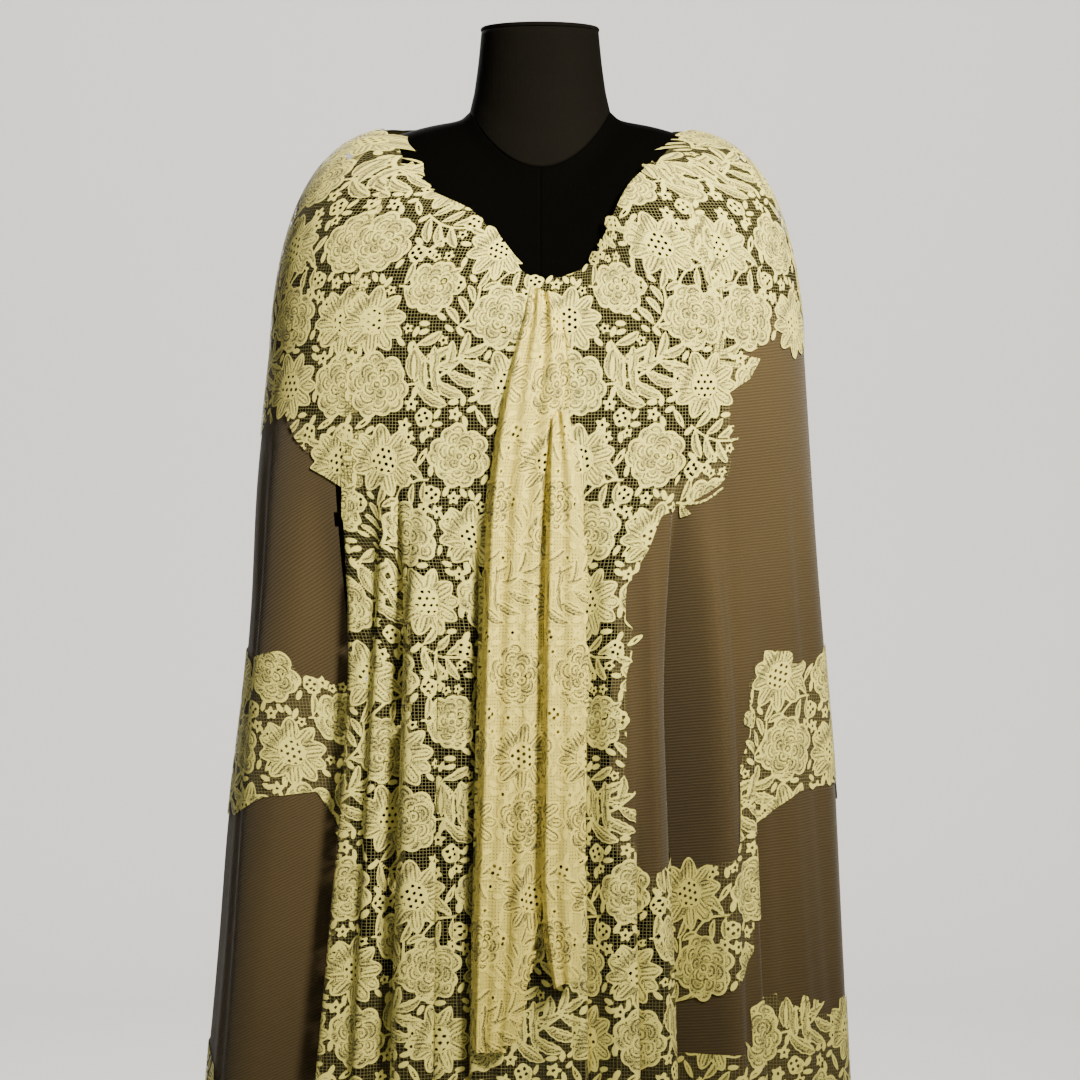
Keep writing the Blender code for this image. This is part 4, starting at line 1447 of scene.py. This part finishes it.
@dataclass
class Ruffle:
    """A fold of lace that hangs in front of the drape in soft waves."""

    node: str
    rows: tuple
    waves: float
    pleats: float
    pleat_depth: float
    step: float = 1.8
    wall: float = 0.6
    curl: float = 9.0
    fullness: float = 1.5
    rim_skip: int = 8
    inset: float = 2.5
    reach: float = 7.0
    chart_start: float = 30.0

    def seat(self, drape: Drape, height: np.ndarray) -> np.ndarray:
        """Depth of the drape's smooth front behind the ruffle.

        Args:
            drape: The surface.
            height: Heights in millimetres.

        Returns:
            Places along Y, in millimetres.
        """
        levels = np.linspace(RING_LEVEL, NECK_LEVEL, 41)
        yoke = drape.smooth_points(np.zeros(levels.shape), levels)
        upper = np.interp(height, yoke[:, 2], yoke[:, 1])
        return np.where(height < RING_LEVEL, -drape.value("front", np.minimum(height, RING_LEVEL)), upper)

    def build(self, drape: Drape, chart: LaceChart, material: bpy.types.Material) -> bpy.types.Object:
        """Grid across and down the fold; each wave is a raised cosine, and pleats wander along it.

        The edges roll back toward the cloth behind by the curl.

        Args:
            drape: The surface behind it.
            chart: The lace's chart.
            material: The finish.

        Returns:
            The piece.
        """
        table = sorted(self.rows, key=lambda row: row.height)
        knots = [row.height for row in table]
        low, high = knots[0], knots[-1]
        rows = int((high - low) / self.step)
        height = np.linspace(low, high, rows)
        widest = max(row.right - row.left for row in table)
        columns = int(widest * self.fullness / self.step)
        part, heights = np.meshgrid(np.linspace(0, 1, columns), height)
        left, right, standoff, wave = (
            smooth_curve(heights, knots, [getattr(row, key) for row in table])
            for key in ("left", "right", "standoff", "wave")
        )
        across = left + part * (right - left)
        swing = wave * (0.5 - 0.5 * np.cos(2 * math.pi * self.waves * part))
        wander = 0.12 * np.sin(heights / 90) + 0.06 * np.sin(heights / 37 + 1)
        pleat = self.pleat_depth * np.sin(2 * math.pi * self.pleats * (part + wander * part * (1 - part)))
        fade = smooth_step(part, 0, 0.1) * smooth_step(-part, -1, -0.9)
        rolled = self.curl * (1 - smooth_step(part, 0, 0.16) * smooth_step(-part, -1, -0.84))
        away = np.maximum(standoff - rolled, 0.3 * standoff)
        forward = self.seat(drape, heights) - away - self.wall - swing - pleat * fade
        points = np.stack([across, forward, heights], axis=-1)
        steps = np.linalg.norm(np.diff(points, axis=1), axis=2)
        stretch = np.pad(np.cumsum(steps, axis=1), ((0, 0), (1, 0)))
        cut = np.stack([stretch - self.chart_start, RING_LEVEL - heights], axis=-1).reshape(-1, 2)
        grid = cut.reshape(rows, columns, 2)
        rim = np.concatenate([grid[:, 0], grid[::-1, -1]])
        values = chart.dress(cut, rim[:: self.rim_skip], self.inset, self.reach)
        faces = grid_faces(rows, columns)
        faces = faces[values["cover"][faces].max(axis=1) > TRIM]
        piece = make_sheet(f"sheet_{self.node}", points.reshape(-1, 3), faces, cut, values)
        piece.data.materials.append(material)
        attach(piece, BODY)
        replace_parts(piece, self.node)
        LOG.info("%s: %d faces", piece.name, len(faces))
        return piece


UNDER_ROWS = (
    RuffleRow(1260, -9, 12, 4.9, 0),
    RuffleRow(1248, -12, 16, 5.2, 0),
    RuffleRow(1232, -15, 20, 6.5, 1),
    RuffleRow(1200, -24, 26, 8, 2),
    RuffleRow(1150, -36, 26, 11, 4),
    RuffleRow(1065, -48, 12, 14, 6),
    RuffleRow(975, -52, 6, 16, 7),
    RuffleRow(885, -55, 5, 17, 7),
    RuffleRow(800, -57, 4, 18, 7),
    RuffleRow(710, -60, 2, 18, 7),
    RuffleRow(640, -61, -8, 18, 6),
    RuffleRow(578, -61, -22, 18, 5),
)
OVER_ROWS = (
    RuffleRow(1150, 10, 25, 16.4, 0),
    RuffleRow(1100, 6, 36, 22, 2),
    RuffleRow(1000, 3, 42, 26, 4),
    RuffleRow(900, 1, 43, 28, 5),
    RuffleRow(800, 0, 43, 28.5, 5),
    RuffleRow(720, 0, 41, 28.5, 4),
    RuffleRow(682, 3, 40, 28.5, 3),
    RuffleRow(655, 7, 38, 28.5, 2),
    RuffleRow(630, 12, 36, 28.5, 1),
)


@dataclass(frozen=True)
class Ring:
    """A ring of the form: heights at its sides, front and back, half width and depths."""

    side: float
    front: float
    back: float
    half: float
    ahead: float
    behind: float


NECK_RINGS = (
    Ring(1423.0, 1366.5, 1402.0, 64.5, 69, 60),
    Ring(1440, 1400, 1420, 60.5, 61, 56),
    Ring(1465, 1445, 1455, 57, 57, 55),
    Ring(1495.7, 1495.7, 1495.7, 54, 55, 54),
)
TORSO_RINGS = (
    Ring(1422.6, 1366.1, 1401.6, 64.6, 69.2, 60.2),
    Ring(1414.5, 1348, 1394, 73, 76, 66),
    Ring(1409, 1325, 1378, 104, 86, 76),
    Ring(1399, 1300, 1352, 138, 95, 86),
    Ring(1384, 1270, 1325, 163, 103, 94),
    Ring(1360, 1240, 1300, 181, 110, 101),
    Ring(1325, 1205, 1265, 188, 118, 102),
    Ring(1270, 1172, 1222, 186, 122, 99),
    Ring(1200, 1130, 1165, 171, 119, 92),
    Ring(1110, 1070, 1090, 148, 104, 82),
    Ring(1010, 1000, 1005, 128, 88, 76),
    Ring(950, 950, 950, 124, 86, 78),
    Ring(880, 880, 880, 142, 94, 94),
    Ring(800, 800, 800, 164, 103, 112),
    Ring(720, 720, 720, 170, 104, 112),
    Ring(650, 650, 650, 164, 99, 104),
    Ring(632, 632, 632, 157, 94, 98),
    Ring(630, 630, 630, 148, 86, 90),
)


@dataclass
class DressForm:
    """The black jersey form: torso with its middle seam, neck block and neck cap."""

    jersey: bpy.types.Material
    neck_jersey: bpy.types.Material
    exponent: float = 2.15
    seam_depth: float = 0.9
    seam_width: float = 1.1
    columns: int = 145
    seam_columns: int = 25
    seam_reach: float = 0.06
    smoothing: int = 3
    closing: float = 0.02

    def loft(self, name: str, rings: tuple, rows_each: int, seam: bool) -> bpy.types.Object:
        """Superellipse rings whose heights turn with the cosine squared, joined by smooth curves.

        Args:
            name: The object's name.
            rings: The table, top ring first for the torso and foot first for the neck.
            rows_each: Rows between two rings.
            seam: Whether a groove runs down the middle of the front and back.

        Returns:
            The object.
        """
        table = sorted(rings, key=lambda ring: ring.side)
        index = np.arange(len(table))
        place = np.linspace(0, len(table) - 1, rows_each * (len(table) - 1) + 1)
        even = np.linspace(-math.pi, math.pi, self.columns)
        close = np.linspace(-self.seam_reach, self.seam_reach, self.seam_columns)
        behind = close[close <= 0] + math.pi
        turns = np.unique(np.round(np.concatenate([even, close, behind, -behind]), 5))
        turns = turns[(turns >= -math.pi) & (turns < math.pi - 1e-4)]
        turn, places = np.meshgrid(turns, place)
        side, front, back, half, ahead, behind = (
            np.interp(places, index, [getattr(ring, key) for ring in table])
            for key in ("side", "front", "back", "half", "ahead", "behind")
        )
        sine, cosine = np.sin(turn), np.cos(turn)
        depth = np.where(cosine > 0, ahead, behind)
        end = np.where(cosine > 0, front, back)
        sides = (np.abs(sine) / half) ** self.exponent
        reach = (sides + (np.abs(cosine) / depth) ** self.exponent) ** (-1 / self.exponent)
        if seam:
            away = np.abs(reach * sine)
            reach = reach - self.seam_depth * np.exp(-((away / self.seam_width) ** 2))
        height = side + (end - side) * cosine**2
        points = np.stack([reach * sine, -reach * cosine, height], axis=-1)
        for _ in range(self.smoothing):
            points[1:-1] = 0.25 * points[:-2] + 0.5 * points[1:-1] + 0.25 * points[2:]
        near, far = self.closing, 1 - self.closing
        foot, head = (near * points[[rim]] + far * points[rim].mean(axis=0) for rim in (0, -1))
        points = np.concatenate([foot, points, head])
        rows, columns, _ = points.shape
        quads = grid_faces(rows, columns + 1)
        quads = (quads // (columns + 1)) * columns + (quads % (columns + 1)) % columns
        flat = points.reshape(-1, 3)
        return make_sheet(name, flat, quads, flat[:, [0, 2]], {})

    def build(self) -> None:
        """Builds the torso and the neck in place of their CAD solids, and gives the CAD neck cap the neck's
        jersey.
        """
        torso = self.loft("jersey_torso", TORSO_RINGS, rows_each=6, seam=True)
        neck = self.loft("jersey_neck", NECK_RINGS, rows_each=10, seam=False)
        pairs = ((torso, "form_torso", self.jersey), (neck, "form_neck", self.neck_jersey))
        for thing, node, material in pairs:
            thing.data.materials.append(material)
            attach(thing, BODY)
            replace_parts(thing, node)
            LOG.info("%s: %d faces", thing.name, len(thing.data.polygons))
        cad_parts["form_neck_cap"].material_slots[0].material = self.neck_jersey


@dataclass
class Stand:
    """The steel stand, whose CAD solids stay and take a better finish."""

    steel: bpy.types.Material
    nodes: tuple = ("stand_collar", "stand_pole", "stand_base")

    def dress(self) -> None:
        """Gives each piece its coat."""
        for name in self.nodes:
            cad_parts[name].material_slots[0].material = self.steel
        LOG.info("stand: %d pieces", len(self.nodes))


@dataclass
class Studio:
    """A pale cove all round, soft lights, and the camera at the photo's angle."""

    floor_radius: float = 6.0
    cove_radius: float = 1.5
    wall_height: float = 6.0
    camera_distance: float = 4.2
    camera_height: float = 1.029
    frame_width: float = 0.9936
    sensor: float = 36.0
    floor_gap: float = 0.5
    air_strength: float = 0.04

    def cove(self) -> None:
        """A turned profile: flat floor, quarter-round cove, upright wall."""
        bend = np.linspace(0, math.pi / 2, 13)
        curve = self.floor_radius + self.cove_radius * np.sin(bend)
        radius = np.concatenate([[0.02, 2, 4], curve, curve[-1:]])
        height = np.concatenate([[0, 0, 0], self.cove_radius * (1 - np.cos(bend)), [self.wall_height]])
        turn = np.linspace(0, 2 * math.pi, 97)
        turns, radii = np.meshgrid(turn, radius)
        heights = np.repeat(height[:, None], len(turn), axis=1)
        points = np.stack([radii * np.cos(turns), radii * np.sin(turns), heights], axis=-1)
        points = points.reshape(-1, 3) / MM
        wall = make_sheet("studio_cove", points, grid_faces(*turns.shape), points[:, :2], {})
        wall.data.materials.append(PaintFinish("pale_studio_paint", "#DFDCD6").build())
        wall.location.z = -self.floor_gap * MM

    def light(
        self, name: str, place: tuple, aim: tuple, size: float, power: float, colour: str, spread: float = 180
    ) -> None:
        """A square soft light that faces a point, narrowed to a spread in degrees.

        Args:
            name: The light's name.
            place: Where it stands, in metres.
            aim: The point that it faces.
            size: Its side, in metres.
            power: Its power in watts.
            colour: Its sRGB colour.
            spread: How wide its light opens, in degrees.
        """
        lamp = bpy.data.lights.new(name, "AREA")
        lamp.size = size
        lamp.spread = math.radians(spread)
        lamp.energy = power
        lamp.color = linear(colour)
        thing = bpy.data.objects.new(name, lamp)
        thing.location = place
        thing.visible_camera = False
        thing.rotation_euler = (Vector(aim) - Vector(place)).to_track_quat("-Z", "Y").to_euler()
        bpy.context.scene.collection.objects.link(thing)

    def build(self) -> None:
        """Sets the cove, the world, the lights and the camera."""
        self.cove()
        world = bpy.data.worlds.new("studio_air")
        world.use_nodes = True
        world.node_tree.nodes["Background"].inputs[0].default_value = (*linear("#E9E6E0"), 1)
        world.node_tree.nodes["Background"].inputs[1].default_value = self.air_strength
        bpy.context.scene.world = world
        self.light("key_light", (1.15, -2.0, 2.4), (0.01, -0.1, 1.36), 0.5, 17, "#FFF6E4", 44)
        self.light("fill_light", (-2.6, -2.4, 1.7), (0, 0, 1.1), 2.2, 1.2, "#F6F3EC")
        self.light("back_light", (-0.9, 3.4, 2.5), (0, 0, 1.1), 1.4, 34, "#FFFFFF", 80)
        self.light("wall_light", (0, 2.2, 4.2), (0, 7.0, 1.0), 3.0, 300, "#FFFFFF", 130)
        self.light("far_wall_light", (0, -2.6, 4.4), (0, -7.0, 1.0), 3.0, 110, "#FFFFFF", 130)
        camera = bpy.data.cameras.new("camera")
        camera.sensor_width = self.sensor
        camera.lens = self.sensor * self.camera_distance / self.frame_width
        eye = bpy.data.objects.new("camera", camera)
        eye.location = (0, -self.camera_distance, self.camera_height)
        eye.rotation_euler = (math.radians(90), 0, 0)
        bpy.context.scene.collection.objects.link(eye)
        bpy.context.scene.camera = eye


def main() -> None:
    """Builds the studio, the form, its stand and the shawl, in that order."""
    logging.basicConfig(level=logging.INFO, format="%(message)s")
    Studio().build()
    DressForm(
        JerseyFinish("black_cotton_jersey", "#020201", "#010100").build(),
        JerseyFinish("black_neck_jersey", "#11100C", "#090806").build(),
    ).build()
    Stand(SteelFinish().build()).dress()
    drape = Drape()
    chart = LaceChart()
    lace = LaceFinish().build()
    twill = TwillFinish().build()
    slanted = TwillFinish("slanted_wool_twill", slope=0.45).build()
    Shawl(drape, chart, lace, twill, slanted).build()
    doubled = LaceFinish("doubled_cotton_lace", thread="#E9D968", net_thread=2.1, net_tone=0.2).build()
    Ruffle("lace_ruffle_under", UNDER_ROWS, 2.5, 3.0, 4.0).build(drape, chart, doubled)
    Ruffle("lace_ruffle_over", OVER_ROWS, 1.5, 2.0, 3.2).build(drape, chart, doubled)


if __name__ == "__main__":
    main()
